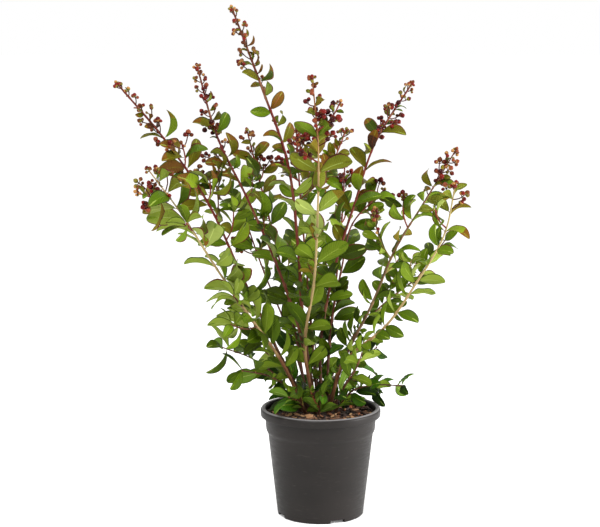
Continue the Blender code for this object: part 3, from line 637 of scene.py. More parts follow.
def leaf_face(root, heading, roll):
    """The way a leaf's upper side looks: up and in to the middle of the crown, rolled a little."""
    inward = Vector((-root.x, -root.y, 0)) / INWARD_REACH
    if inward.length > 1.0:
        inward.normalize()
    lit = UP * FACE_UP + inward * FACE_INWARD
    face = (lit - heading * lit.dot(heading)).normalized()
    face.rotate(Quaternion(heading, roll))
    return face


def settle_leaf(mass, space, growth, distance, turn, length, dice):
    """One leaf at a node, turned or shortened until it has room, or else left off."""
    shoot = growth.shoot
    share = (distance - growth.first) / max(growth.last - growth.first, 0.001)
    along = shoot.heading(distance)
    for attempt in range(LEAF_TRIES):
        swing = dice.uniform(-SWING, SWING) * (1 + 0.5 * attempt)
        out = shoot.outward(distance, radians(turn + swing))
        spread = mix(LOW_SPREAD, HIGH_SPREAD, min(share, 1.0)) + dice.uniform(-SPREAD_CHANGE, SPREAD_CHANGE)
        spread = radians(spread - UPPER_SIDE_TURN * max(out.z, 0.0))
        roll = radians(dice.uniform(-ROLL, ROLL))
        heading = (along * cos(spread) + out * sin(spread) + UP * LIFT).normalized()
        root = shoot.core(distance)
        leaf = Leaf(root, heading, leaf_face(root, heading, roll), length)
        blade = leaf_shape(leaf, BLADE_FROM, SPARE)
        whole = leaf_shape(leaf, WHOLE_FROM, SPARE)
        if not space.meets(whole, mass.name, False) and not space.meets(blade, mass.name, True):
            space.add(mass.name, leaf_shape(leaf, TAKEN_FROM))
            mass.leaves.append(leaf)
            return
        length *= SHORTENING


def bract_leaves(mass, space, growth, order):
    """Single leaves that go on up the lower part of a flowering stretch, each smaller than the last."""
    end = growth.shoot.length - growth.raceme * (1 - BRACT_SHARE)
    for distance, dice in walk(mass, ("bract", order), growth.last + BRACT_GAP * 0.75, end, BRACT_GAP):
        share = (distance - growth.last) / growth.raceme
        length = mix(growth.high * LARGEST_BRACT, SMALLEST_BRACT, share) * dice.uniform(0.8, 1.1)
        settle_leaf(mass, space, growth, distance, dice.uniform(0, 360), length, dice)


def leaf_share(mass, place):
    """The share of its full size that a leaf has at a place on a tall stem."""
    if not mass.plan.bare:
        return 1.0
    out = max(way(place.z, *SMALL_HEIGHTS), way(reach_of(place), *SMALL_REACHES))
    return mix(SMALL_SHARE, 1.0, out)


def leaf_out(mass, space, growth, order):
    """Pairs of leaves up a shoot, each pair turned from the last, smaller towards the tip."""
    distance = growth.first
    turn = growth.turn
    pair = 0
    while distance < growth.last:
        share = (distance - growth.first) / max(growth.last - growth.first, 0.001)
        size = leaf_share(mass, growth.shoot.point(distance))
        for side in range(2):
            dice = mass.dice("leaf", order, pair, side)
            length = mix(growth.low, growth.high, share ** 0.9) * size * dice.uniform(0.84, 1.1)
            at = min(distance + side * dice.uniform(0.001, 0.006), growth.shoot.length - 0.001)
            settle_leaf(mass, space, growth, at, turn + 180 * side, length, dice)
        dice = mass.dice("node", order, pair)
        distance += mix(*growth.gap, share) * size * dice.uniform(0.86, 1.14)
        turn += growth.step + dice.uniform(-16, 16)
        pair += 1
    if growth.raceme:
        bract_leaves(mass, space, growth, order)
        return
    for side in range(2):
        dice = mass.dice("tip", order, side)
        at = growth.shoot.length - TIP_NODE
        settle_leaf(mass, space, growth, at, turn + 180 * side, growth.high * TIP_LEAF, dice)


def grow_plant():
    """Every mass, grown together so that each keeps to its own space, and what room they take."""
    space = Space()
    space.add("pot", turned(pot_outline(), POT_SIDES))
    space.add("growing_medium", growing_medium_shape())
    masses = [Mass(plan) for plan in STEMS + BASALS]
    for mass in masses:
        space.add(mass.name, tube(mass.main, 0.004, mass.main.length, STEM_SIDES, 0.015, SPARE))
    for mass in masses:
        branch(mass, space)
    for mass in masses:
        for order, growth in enumerate(mass.growths):
            if growth.raceme:
                flower(mass, space, growth, order)
    for mass in masses:
        for order, growth in enumerate(mass.growths):
            leaf_out(mass, space, growth, order)
    return masses, space


def wall_radius(height):
    """The pot's outer radius at a height below its rim."""
    marks = [(0.0, FOOT_RADIUS), STEP_BOTTOM[::-1], STEP_TOP[::-1], (RIM_BOTTOM, COLLAR_TOP_RADIUS)]
    return between(marks, height)


def pot_outline():
    """The pot's outline from the middle of its underside, out and up, over the rim and back inside."""
    return [
        (PAD_RADIUS, 0.0),
        (PAD_RADIUS, RECESS_HEIGHT),
        (FOOT_INNER_RADIUS, RECESS_HEIGHT),
        (FOOT_INNER_RADIUS, 0.0),
        (FOOT_RADIUS - FOOT_ROUNDING, 0.0),
        (wall_radius(FOOT_ROUNDING), FOOT_ROUNDING),
        STEP_BOTTOM,
        STEP_TOP,
        (COLLAR_TOP_RADIUS, RIM_BOTTOM),
        (COLLAR_TOP_RADIUS + 0.0005, POT_HEIGHT - 0.0042),
        (RIM_RADIUS - RIM_THICKNESS, POT_HEIGHT - 0.0042),
        (RIM_RADIUS - RIM_THICKNESS, RIM_BOTTOM + 0.0004),
        (RIM_RADIUS - 0.0004, RIM_BOTTOM),
        (RIM_RADIUS, RIM_BOTTOM + 0.0022),
        (RIM_RADIUS, POT_HEIGHT - 0.0030),
        (RIM_RADIUS - 0.0022, POT_HEIGHT),
        (RIM_INNER_RADIUS + 0.0016, POT_HEIGHT),
        (RIM_INNER_RADIUS, POT_HEIGHT - 0.0024),
        (wall_radius(RIM_BOTTOM) - WALL_THICKNESS, RIM_BOTTOM),
        (STEP_TOP[0] - WALL_THICKNESS, STEP_TOP[1] + 0.0004),
        (STEP_BOTTOM[0] - WALL_THICKNESS, STEP_BOTTOM[1] + 0.0004),
        (wall_radius(FLOOR_TOP) - WALL_THICKNESS, FLOOR_TOP),
    ]


def between(marks, height):
    """The radius at a height on a line through (height, radius) marks, and the last one above them."""
    for (low, near), (high, far) in zip(marks, marks[1:]):
        if height <= high:
            return mix(near, far, (height - low) / (high - low))
    return marks[-1][1]


def inner_radius(height):
    """The radius inside the pot at a height between its floor and its rim."""
    return between([(z, r) for r, z in reversed(pot_outline()[-5:])], height)


def turned(outline, sides):
    """A closed solid turned from an outline that starts under its middle and ends over it."""
    corners = [Vector((0, 0, outline[0][1]))]
    for radius, height in outline:
        for side in range(sides):
            angle = 2 * pi * side / sides
            corners.append(Vector((radius * cos(angle), radius * sin(angle), height)))
    corners.append(Vector((0, 0, outline[-1][1])))
    last = len(corners) - 1
    faces = []
    for side in range(sides):
        beside = (side + 1) % sides
        faces.append((0, 1 + beside, 1 + side))
        for ring in range(len(outline) - 1):
            near = 1 + ring * sides
            far = near + sides
            faces.append((near + side, near + beside, far + beside, far + side))
        near = 1 + (len(outline) - 1) * sides
        faces.append((near + side, near + beside, last))
    return corners, faces


def growing_medium_shape():
    """What fills the pot: it follows the wall, flat under the stems and uneven round them."""
    dice = random.Random("growing medium")
    outline = []
    for height in (FLOOR_TOP + CLEARANCE, STEP_BOTTOM[1], STEP_TOP[1], SOIL_TOP - 0.001):
        outline.append((inner_radius(height) - CLEARANCE, height))
    outline += [(0.070, SOIL_TOP), (0.054, SOIL_TOP), (SOIL_FLAT_RADIUS, SOIL_TOP)]
    corners, faces = turned(outline, POT_SIDES)
    first = 1 + 4 * POT_SIDES
    for corner in corners[first:first + 2 * POT_SIDES]:
        corner.z += dice.uniform(-SOIL_UNEVENNESS, SOIL_UNEVENNESS)
    return corners, faces


def box_shape(angle, distance, depth, width, bottom, top):
    """A block at a distance from the middle, turned to face outwards."""
    out = Vector((cos(angle), sin(angle), 0))
    beside = Vector((-sin(angle), cos(angle), 0))
    corners = []
    for height in (bottom, top):
        for near, across in ((-1, -1), (1, -1), (1, 1), (-1, 1)):
            place = out * (distance + near * depth / 2) + beside * (across * width / 2)
            corners.append(place + UP * height)
    faces = [(3, 2, 1, 0), (4, 5, 6, 7)]
    for side in range(4):
        beside = (side + 1) % 4
        faces.append((side, beside, beside + 4, side + 4))
    return corners, faces


# What follows goes past the solids: finer growth, real outlines and finishes

# Photograph's camera
PHOTO_SIZE = (600, 527)
FOCAL_PIXELS = 1613.5
CAMERA_PLACE = (-0.0326, -2.5, 0.7541)
CAMERA_PITCH = 8.0365
CAMERA_REACH = 500.0
SENSOR_WIDTH = 36.0

# Studio: its surround, its floor, and each lamp's name, place, aim, size and power
WORLD_STRENGTH = 1.0
FLOOR_GLOW = 0.12
FLOOR_REACH = 60.0
LAMPS = (
    ("key", (-0.9, -2.1, 3.2), (0, 0, 0.4), 1.3, 115),
    ("rim", (2.3, -0.4, 0.8), (0, 0, 0.25), 1.0, 80),
)

# Finer twigs and small leaves, with their chances in the middle of the crown low down, outside it
# low down, and high up
FINE_RADIUS = 0.0009
FINE_LENGTHS = (0.016, 0.034)
FINE_GAP = (0.011, 0.009)
FINE_STEP = 0.030
FINE_CHANCES = (0.50, 0.16, 0.04)
SMALL_STEP = 0.020
SMALL_CHANCES = (0.50, 0.14, 0.06)
BARE_BELOW = 0.015
FINE_REACHES = (0.11, 0.05)
FINE_HEIGHTS = (0.42, 0.26)

# Finer parts of a flower head, each from its foot to its tip
SMALL_BRACT_GAPS = (0.013, 0.010)
SMALL_BRACT_CHANCES = (0.80, 0.60)
SMALL_BRACT_LENGTHS = (0.024, 0.010)
FINE_FLOWER_GAPS = (0.030, 0.020)
FINE_BRANCHLETS = (0.015, 0.006)
FINE_BUD_SIZES = (0.80, 0.62)
FINE_BUD_COUNTS = (2.4, 1.2)

# Blade of a leaf: shares of its length and of its half width
BLADE_START = 0.055
BLADE_ROWS = (0.10, 0.19, 0.29, 0.40, 0.52, 0.64, 0.75, 0.85, 0.93, 0.98)
BLADE_COLUMNS = (-1.0, -0.87, -0.44, -0.04, 0.04, 0.44, 0.87, 1.0)
BLADE_WIDTH = 0.475
BLADE_PEAKS = (0.53, 0.66)
BLADE_ROUNDNESS = 0.52
WEDGE = 0.40
WEDGE_POWER = 0.34
BLADE_THICKNESS = 0.0003
RIB_HALF = 0.1
RIB_DEPTH = 0.0008
RIB_DIP = 0.0003
TIP_ROW = 6
PETIOLE_RADIUS = 0.0007

# How far a blade may bend, where two numbers stand low down and at the top of the plant
LEAST_BEND = 0.05
MOST_ARCH = (0.13, 0.26)
MOST_FOLD = (0.11, 0.20)
MOST_WAVE = 0.045
MOST_TWIST = 26
TWIST_PIVOT = 0.3
TIP_DROOP = 0.4
FOLD_CURVE = 1.4
WAVES_ALONG = 1.7

# Relief of the leaves' side veins, and depth of every fine grain
VEIN_SLANT = 0.42
VEIN_TURNS = 50.0
VEIN_SHARPNESS = 0.4
VEIN_DEPTH = 0.0022
GRAIN_DEPTH = 0.0003

# Buds, with the height and width of each ring in bud radii, and their stalks
BUD_SIDES = 9
BUD_RINGS = ((-0.95, 0.30), (-0.55, 0.78), (0.0, 1.0), (0.50, 0.90), (0.88, 0.52))
CALYX_RINGS = 2
BUD_FOOT = 1.1
BUD_POINT = 1.22
BUD_RIBS = 0.05
BUD_SWELL = 1.16
YOUNG_BUD = 0.74
BUD_STEP = 1.5
LOWEST_BUD = 0.35
PAIR_TURN = 1.2
RED_STALKS = 0.4
STALK_SIDES = 5
STALK_RING = 0.003
STALK_RADIUS = 0.0007
STALK_SWELL = 0.00032

# Stems whose flower heads are younger than the others', and by how much
LATE_FLOWERS = ("far_left", "tall", "far_right", "front_left", "low_right", "thin_right")
LATENESS = 0.45

# Bark: its rings, its thickness against the solid's, and where that and the young look begin
BARK_SIDES = 14
STEM_RING = 0.003
SLIM = 0.90
SLENDER = 0.78
YOUNG_SWELL = 1.22
SWELL_PLACES = (0.3, 0.6)
YOUNG_HEIGHTS = (0.30, 0.50)
BARK_TOP = 0.72

# Relief of the bark: how fine its ridges and streaks are round and along it, how deep they are as
# shares of its radius, and the swellings where leaves stand
RIDGES = (2.2, 38)
STREAKS = (6, 150)
RIDGE_DEPTH = 0.09
STREAK_DEPTH = 0.05
SQUARENESS = 0.05
NODE_SWELL = 0.26
NODE_REACH = 0.0022
LEAF_NEAR = 0.006
SWELLING_GAP = 0.008

# Pot's shell, the growing medium's bed and the chips on it
FINE_POT_SIDES = 160
NOTCH_DEPTH = 0.016
BED_RINGS = 34
BED_SIDES = 96
BED_TOP = SOIL_TOP - 0.0015
BED_SHOULDER = SOIL_TOP - 0.0025
CHIP_COUNT = 620
CHIP_TILT = 13
SHORT_CHIPS = (0.005, 0.0125)
LONG_CHIPS = (0.0125, 0.018)
SHORT_CHIP_SHARE = 0.8
CHIP_WIDTHS = (0.34, 0.66)
CHIP_THICKNESSES = (0.0010, 0.0024)
CHIP_LAYER = 0.0036
CHIP_SINK = 0.0008
CHIP_CLEAR = 0.004


def linear(colour):
    """Screen values from 0 to 255, as the linear values that a shader takes."""
    shares = [value / 255 for value in colour]
    return tuple(s / 12.92 if s <= 0.04045 else ((s + 0.055) / 1.055) ** 2.4 for s in shares)


class Finish:
    """A Principled material whose plain base colour is set on its own socket."""

    def __init__(self, name, colour, roughness, gloss=0.5):
        self.made = bpy.data.materials.new(name)
        self.made.use_nodes = True
        self.tree = self.made.node_tree
        self.shader = self.tree.nodes["Principled BSDF"]
        self.shader.inputs["Base Color"].default_value = (*linear(colour), 1.0)
        self.shader.inputs["Roughness"].default_value = roughness
        self.shader.inputs["Specular IOR Level"].default_value = gloss
        self.places = self.tree.nodes.new("ShaderNodeTexCoord")
        self.relief = None

    def node(self, kind, values=(), **settings):
        """A node with its settings, and values for its inputs by name or number."""
        made = self.tree.nodes.new(kind)
        for key, value in settings.items():
            setattr(made, key, value)
        for key, value in dict(values).items():
            made.inputs[key].default_value = value
        return made

    def link(self, source, target):
        """Joins an output to an input."""
        self.tree.links.new(source, target)

    def noise(self, scale, detail=3.0, stretch=(1, 1, 1)):
        """A noise over the piece, finer as the scale goes up."""
        mapping = self.node("ShaderNodeMapping", {"Scale": stretch})
        self.link(self.places.outputs["Object"], mapping.inputs["Vector"])
        made = self.node("ShaderNodeTexNoise", {"Scale": scale, "Detail": detail})
        self.link(mapping.outputs[0], made.inputs["Vector"])
        return made.outputs["Fac"]

    def span(self, source, low, high, start=0.3, end=0.7):
        """Spreads a share out between two values."""
        made = self.node("ShaderNodeMapRange", {1: start, 2: end, 3: low, 4: high})
        self.link(source, made.inputs[0])
        return made.outputs[0]

    def height(self, low, high):
        """How far each place of the surface is on its way from a low height to a high one."""
        geometry = self.node("ShaderNodeNewGeometry")
        split = self.node("ShaderNodeSeparateXYZ")
        self.link(geometry.outputs["Position"], split.inputs[0])
        return self.span(split.outputs[2], 0.0, 1.0, low, high)

    def rough(self, source, low, high):
        """Roughness that follows a pattern."""
        self.link(self.span(source, low, high), self.shader.inputs["Roughness"])

    def bump(self, source, strength, depth):
        """Fine relief from a pattern, on top of any relief before it."""
        made = self.node("ShaderNodeBump", {"Strength": strength, "Distance": depth})
        self.link(source, made.inputs["Height"])
        if self.relief is not None:
            self.link(self.relief, made.inputs["Normal"])
        self.relief = made.outputs[0]
        self.link(self.relief, self.shader.inputs["Normal"])

    def colour(self, source, stops):
        """A colour from a ramp of (share, screen colour) along a pattern."""
        ramp = self.node("ShaderNodeValToRGB")
        band = ramp.color_ramp
        while len(band.elements) < len(stops):
            band.elements.new(0.5)
        for element, (share, colour) in zip(band.elements, stops):
            element.position = share
            element.color = (*linear(colour), 1.0)
        self.link(source, ramp.inputs[0])
        return ramp.outputs[0]

    def paint(self, source):
        """Base colour that follows a pattern."""
        self.link(source, self.shader.inputs["Base Color"])

    def maths(self, operation, *values):
        """A sum on outputs and numbers."""
        made = self.node("ShaderNodeMath", operation=operation)
        for index, value in enumerate(values):
            if isinstance(value, (int, float)):
                made.inputs[index].default_value = value
            else:
                self.link(value, made.inputs[index])
        return made.outputs[0]

    def mix(self, share, first, second):
        """A mix of two colours."""
        made = self.node("ShaderNodeMix", data_type="RGBA")
        for index, value in ((0, share), (6, first), (7, second)):
            if isinstance(value, tuple):
                made.inputs[index].default_value = (*linear(value), 1.0)
            else:
                self.link(value, made.inputs[index])
        return made.outputs[2]


def leaf_finish(name, colour, roughness, relief, gloss):
    """Leaf skin: paired side veins as relief, and a broken gloss."""
    made = Finish(name, colour, roughness, gloss)
    split = made.node("ShaderNodeSeparateXYZ")
    made.link(made.places.outputs["UV"], split.inputs[0])
    across = made.maths("ABSOLUTE", made.maths("SUBTRACT", split.outputs[0], 0.5))
    slant = made.maths("SUBTRACT", split.outputs[1], made.maths("MULTIPLY", across, VEIN_SLANT))
    wave = made.maths("SINE", made.maths("MULTIPLY", slant, VEIN_TURNS))
    made.bump(made.maths("POWER", made.maths("ABSOLUTE", wave), VEIN_SHARPNESS), relief, VEIN_DEPTH)
    made.bump(made.noise(420.0), relief * 0.5, GRAIN_DEPTH)
    made.rough(made.noise(160.0), roughness - 0.07, roughness + 0.10)
    return made.made


def smooth_finish(name, colour, roughness, scale=300.0, relief=0.25, gloss=0.5):
    """A plain colour with a fine grain and a broken gloss."""
    made = Finish(name, colour, roughness, gloss)
    grain = made.noise(scale)
    made.bump(grain, relief, GRAIN_DEPTH)
    made.rough(grain, roughness - 0.08, roughness + 0.08)
    return made.made


# Leaf colours: upper sides from deep green to bronze, then undersides, ribs and margins
UPPER = {
    "moss": (30, 52, 5),
    "fern": (52, 88, 9),
    "deep": (52, 66, 4),
    "green": (68, 90, 8),
    "fresh": (88, 112, 12),
    "bright": (112, 132, 26),
    "olive": (86, 82, 8),
    "bronze": (102, 68, 12),
    "russet": (112, 48, 18),
    "plum": (66, 40, 22),
}
UNDER = {
    "frond": (90, 118, 38),
    "shade": (64, 84, 16),
    "leek": (94, 114, 26),
    "lime": (122, 139, 50),
    "pale": (143, 157, 77),
    "sage": (108, 114, 32),
    "straw": (116, 101, 30),
    "rose": (108, 74, 32),
}
TRIM = {
    "vein_pale": (166, 180, 92),
    "vein_red": (128, 66, 40),
    "edge": (84, 38, 20),
    # Dark outline along a leaf's margin: painted shade
    "edge_dark": (36, 44, 8),
    "petiole": (128, 84, 44),
}
# Finish of the midrib of each kind of leaf
RIBS = {
    "moss": "fern", "fern": "bright", "frond": "pale",
    "deep": "green", "green": "fresh", "fresh": "bright", "bright": "lime",
    "olive": "sage", "bronze": "vein_red", "russet": "vein_red", "plum": "russet",
    "shade": "leek", "leek": "lime", "lime": "pale", "pale": "vein_pale",
    "sage": "pale", "straw": "sage", "rose": "straw",
}
# Chances of each upper colour low down, half way up and at the top
CHANCES = {
    "deep": (0.24, 0.15, 0.24),
    "green": (0.34, 0.24, 0.10),
    "fresh": (0.30, 0.28, 0.00),
    "bright": (0.12, 0.16, 0.00),
    "olive": (0.00, 0.13, 0.38),
    "bronze": (0.00, 0.04, 0.15),
    "russet": (0.00, 0.01, 0.05),
    "plum": (0.00, 0.00, 0.09),
}
UNDER_CHANCES = {
    "shade": (0.08, 0.04, 0.16),
    "leek": (0.25, 0.22, 0.20),
    "lime": (0.38, 0.34, 0.00),
    "pale": (0.24, 0.21, 0.00),
    "sage": (0.00, 0.11, 0.28),
    "straw": (0.00, 0.07, 0.20),
    "rose": (0.00, 0.01, 0.14),
}
# The same for leaves deep in the middle of the crown, in darker colours: painted shade
SHADED = {"deep": (0.38, 0.24, 0.20), "green": (0.36, 0.36, 0.30), "fresh": (0.26, 0.34, 0.20),
          "olive": (0.00, 0.06, 0.30)}
SHADED_UNDER = {"shade": (0.40, 0.30, 0.20), "leek": (0.42, 0.40, 0.40), "lime": (0.18, 0.26, 0.15),
                "straw": (0.00, 0.04, 0.25)}
# The same for the lowest leaves round the pot's rim, in darker greens: painted shade
LOWEST = {"moss": (0.44, 0.40, 0.40), "fern": (0.36, 0.36, 0.36), "deep": (0.20, 0.24, 0.24)}
LOWEST_UNDER = {"shade": (0.36, 0.36, 0.36), "frond": (0.36, 0.36, 0.36), "leek": (0.28, 0.28, 0.28)}
# Height up to which the lowest leaves stand and take painted shade, and heights through which the leaves go
# from level to level
RIM_SHADE = 0.235
LOWER_LEVEL = (0.26, 0.44)
UPPER_LEVEL = (0.44, 0.57)

# How deep in the crown a leaf is: its reach low down and half way up, where it opens out, and the depth
# past which its colours turn darker as painted shade
CROWN_HEIGHTS = (0.17, 0.39)
CROWN_REACHES = (0.17, 0.25)
OPEN_HEIGHTS = (0.46, 0.34)
SHADED_DEPTH = 0.42

# Leaves on one side of a stem, in one stretch this tall, lean to the same colours by these shares
SPRAY_HEIGHT = 0.05
SPRAY_ABOVE = 0.4
SPRAY_BELOW = 0.45

# Bronze tips and margins: their chance for each level past the one where they begin. Then the chances that
# other margins get a dark outline as painted shade, on the upper side and on the underside
FLUSH = 0.45
FLUSH_FROM = 0.9
EDGED = 0.48
EDGED_FROM = 0.15
PAINTED_SHADE_EDGES = 0.8
PAINTED_SHADE_UNDER_EDGES = 0.7


def drawn(chances, level, share):
    """The colour that a share falls on, by the chances at this level from 0 to 2."""
    low = min(int(level), 1)
    weights = {name: mix(row[low], row[low + 1], level - low) for name, row in chances.items()}
    rest = share * sum(weights.values())
    for name, weight in weights.items():
        rest -= weight
        if rest <= 0:
            return name
    return name


class Pile:
    """Shapes gathered for one piece: corners, faces, their finishes and leaf coordinates."""

    def __init__(self, finishes):
        self.finishes = finishes
        self.slots = {name: index for index, name in enumerate(finishes)}
        self.corners = []
        self.faces = []
        self.kinds = []
        self.maps = []
        self.count = 0

    def add(self, corners, faces, kinds, maps=None):
        """Adds a shape. Kinds is a finish for it all, or one for each face."""
        base = self.count
        self.corners.append(np.asarray(corners, dtype=np.float64).reshape(-1, 3))
        self.count += len(self.corners[-1])
        for face in faces:
            self.faces.append(tuple(base + corner for corner in face))
        if isinstance(kinds, str):
            kinds = [kinds] * len(faces)
        self.kinds.extend(self.slots[kind] for kind in kinds)
        if maps is None:
            maps = np.zeros((len(self.corners[-1]), 2))
        self.maps.append(np.asarray(maps, dtype=np.float64))

    def piece(self, name, nodes, slot, smooth=True):
        """Makes the piece, riding on the plant's body in place of the nodes it stands for."""
        mesh = bpy.data.meshes.new(name)
        corners = np.concatenate(self.corners)
        mesh.from_pydata(corners.tolist(), [], self.faces)
        for finish in self.finishes.values():
            mesh.materials.append(finish)
        mesh.polygons.foreach_set("material_index", self.kinds)
        maps = np.concatenate(self.maps)
        loops = np.empty(len(mesh.loops), dtype=np.int64)
        mesh.loops.foreach_get("vertex_index", loops)
        layer = mesh.uv_layers.new(name="leaf")
        layer.data.foreach_set("uv", maps[loops].ravel())
        if smooth:
            mesh.shade_smooth()
        mesh.validate()
        obj = bpy.data.objects.new(name, mesh)
        bpy.context.scene.collection.objects.link(obj)
        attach(obj, "root")
        if nodes:
            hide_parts(*nodes)
        return obj


def blade_faces():
    """How a blade's corners join up, its strip for each face, and its leaf coordinates."""
    rows, columns = len(BLADE_ROWS), len(BLADE_COLUMNS)
    inner = columns - 2

    def top(row, column):
        return 2 + row * (columns + inner) + column

    def under(row, column):
        if column in (0, columns - 1):
            return top(row, column)
        return 2 + row * (columns + inner) + columns + column - 1

    faces, strips = [], []
    for column in range(columns - 1):
        beside = column + 1
        middle = column == columns // 2 - 1
        outer = column in (0, columns - 2)
        kind = "rib" if middle else "edge" if outer else "blade"
        far_kind = "tip" if kind == "blade" else kind
        faces += [(0, top(0, column), top(0, beside)), (0, under(0, beside), under(0, column))]
        strips += [("top", kind), ("under", kind)]
        for row in range(rows - 1):
            last = row + 1
            row_kind = kind if row < TIP_ROW else far_kind
            faces.append((top(row, column), top(last, column), top(last, beside), top(row, beside)))
            faces.append((under(row, column), under(row, beside), under(last, beside), under(last, column)))
            strips += [("top", row_kind), ("under", row_kind)]
        end = rows - 1
        faces += [(1, top(end, beside), top(end, column)), (1, under(end, column), under(end, beside))]
        strips += [("top", far_kind), ("under", far_kind)]
    maps = [(0.5, BLADE_START), (0.5, 1.0)]
    for along in BLADE_ROWS:
        maps += [(0.5 + across / 2, along) for across in BLADE_COLUMNS]
        maps += [(0.5 + across / 2, along) for across in BLADE_COLUMNS[1:-1]]
    return faces, strips, maps


BLADE_FACES, BLADE_STRIPS, BLADE_MAPS = blade_faces()


def blade_width(along, bend):
    """Half the width of a blade at a share of its length, 1 at its widest, wedge-shaped at its foot."""
    return sin(pi * along ** bend) ** BLADE_ROUNDNESS * min(1.0, (along / WEDGE) ** WEDGE_POWER)


def blade_corners(leaf, peak, arch, fold, wave, phase, twist):
    """A blade's corners: arched along its rib, folded up from it and waved at its margins."""
    side = leaf.heading.cross(leaf.face)
    bend = log(0.5) / log(peak)

    def place(along, across, lift, width=0.0):
        angle = twist * (along - TWIST_PIVOT)
        out = side * cos(angle) + leaf.face * sin(angle)
        up = leaf.face * cos(angle) - side * sin(angle)
        rise = arch * 4 * along * (1 - along) - arch * TIP_DROOP * along ** 3
        rise += fold * abs(across) ** FOLD_CURVE * width
        rise += wave * sin(2 * pi * (WAVES_ALONG * along + phase) + across) * across ** 2 * width
        reach = leaf.length * BLADE_WIDTH / 2 * width * across
        rib = leaf.root + leaf.heading * (leaf.length * along)
        return rib + out * reach + up * (leaf.length * rise + lift)

    corners = [place(BLADE_START, 0.0, 0.0), place(1.0, 0.0, 0.0)]
    for along in BLADE_ROWS:
        width = blade_width(along, bend)
        for across in BLADE_COLUMNS:
            dip = -RIB_DIP if abs(across) < RIB_HALF else 0.0
            corners.append(place(along, across, dip, width))
        for across in BLADE_COLUMNS[1:-1]:
            depth = RIB_DEPTH * (1.1 - along) if abs(across) < RIB_HALF else BLADE_THICKNESS
            corners.append(place(along, across, -depth, width))
    return corners


def leaf_level(leaf):
    """0 low down, 1 half way up and 2 at the top, where leaves turn bronze."""
    return way(leaf.root.z, *LOWER_LEVEL) + way(leaf.root.z, *UPPER_LEVEL)


def leaf_depth(leaf):
    """How deep inside the crown a leaf is: 0 at its outside, 1 at its middle, and less higher up."""
    middle = leaf.root + leaf.heading * (leaf.length / 2)
    inside = 1 - reach_of(middle) / mix(*CROWN_REACHES, way(middle.z, *CROWN_HEIGHTS))
    return max(inside, 0.0) * way(middle.z, *OPEN_HEIGHTS)


def leaf_strips(mass, leaf, level, dice):
    """The finish of each strip of a leaf, by its spray, its height and its depth in the crown; leaves deep
    inside it and the lowest ones take darker colours as painted shade.
    """
    spray = mass.dice("spray", int(leaf.root.z / SPRAY_HEIGHT), int(leaf.heading.x > 0)).random()
    # Leaves deep inside the crown take the darker shaded colours: painted shade
    shaded = leaf_depth(leaf) + dice.uniform(-0.2, 0.2) > SHADED_DEPTH
    upper_chances, under_chances = (SHADED, SHADED_UNDER) if shaded else (CHANCES, UNDER_CHANCES)
    # The lowest leaves take darker colours: painted shade
    if leaf.root.z < RIM_SHADE + dice.uniform(-0.04, 0.04):
        upper_chances, under_chances = LOWEST, LOWEST_UNDER
    upper = drawn(upper_chances, level, dice.random() * (1 - SPRAY_ABOVE) + spray * SPRAY_ABOVE)
    under = drawn(under_chances, level, spray * SPRAY_BELOW + dice.random() * (1 - SPRAY_BELOW))
    edged = dice.random() < EDGED * (level - EDGED_FROM)
    # Margins that are not bronze mostly get a dark outline, on both sides: painted shade
    edge = "edge" if edged else "edge_dark" if dice.random() < PAINTED_SHADE_EDGES else upper
    flushed = dice.random() < FLUSH * (level - FLUSH_FROM)
    under_edge = "edge" if edged else "shade" if dice.random() < PAINTED_SHADE_UNDER_EDGES else "leek"
    return {
        ("top", "blade"): upper,
        ("top", "rib"): RIBS[upper],
        ("top", "edge"): edge,
        ("top", "tip"): "bronze" if flushed else upper,
        ("under", "blade"): under,
        ("under", "rib"): RIBS[under],
        ("under", "edge"): under_edge,
        ("under", "tip"): "straw" if flushed else under,
    }


def add_leaf(pile, mass, index, leaf):
    """One leaf with its stalk."""
    dice = mass.dice("blade", index)
    level = min(max(leaf_level(leaf) + dice.uniform(-0.35, 0.35), 0.0), 2.0)
    strips = leaf_strips(mass, leaf, level, dice)
    arch = dice.uniform(LEAST_BEND, mix(*MOST_ARCH, level / 2))
    fold = dice.uniform(LEAST_BEND, mix(*MOST_FOLD, level / 2))
    wave = dice.uniform(0.0, MOST_WAVE)
    twist = radians(dice.uniform(-MOST_TWIST, MOST_TWIST))
    corners = blade_corners(leaf, dice.uniform(*BLADE_PEAKS), arch, fold, wave, dice.random(), twist)
    pile.add(corners, BLADE_FACES, [strips[strip] for strip in BLADE_STRIPS], BLADE_MAPS)
    elbow = leaf.root + leaf.heading * (leaf.length * 0.035)
    end = corners[0] + leaf.heading * (leaf.length * 0.02)
    stalk = Shoot((leaf.root, elbow, end), PETIOLE_RADIUS * 1.2, PETIOLE_RADIUS * 0.7, 2)
    pile.add(*tube(stalk, 0.0, stalk.length, STALK_SIDES, 0.004), "petiole")


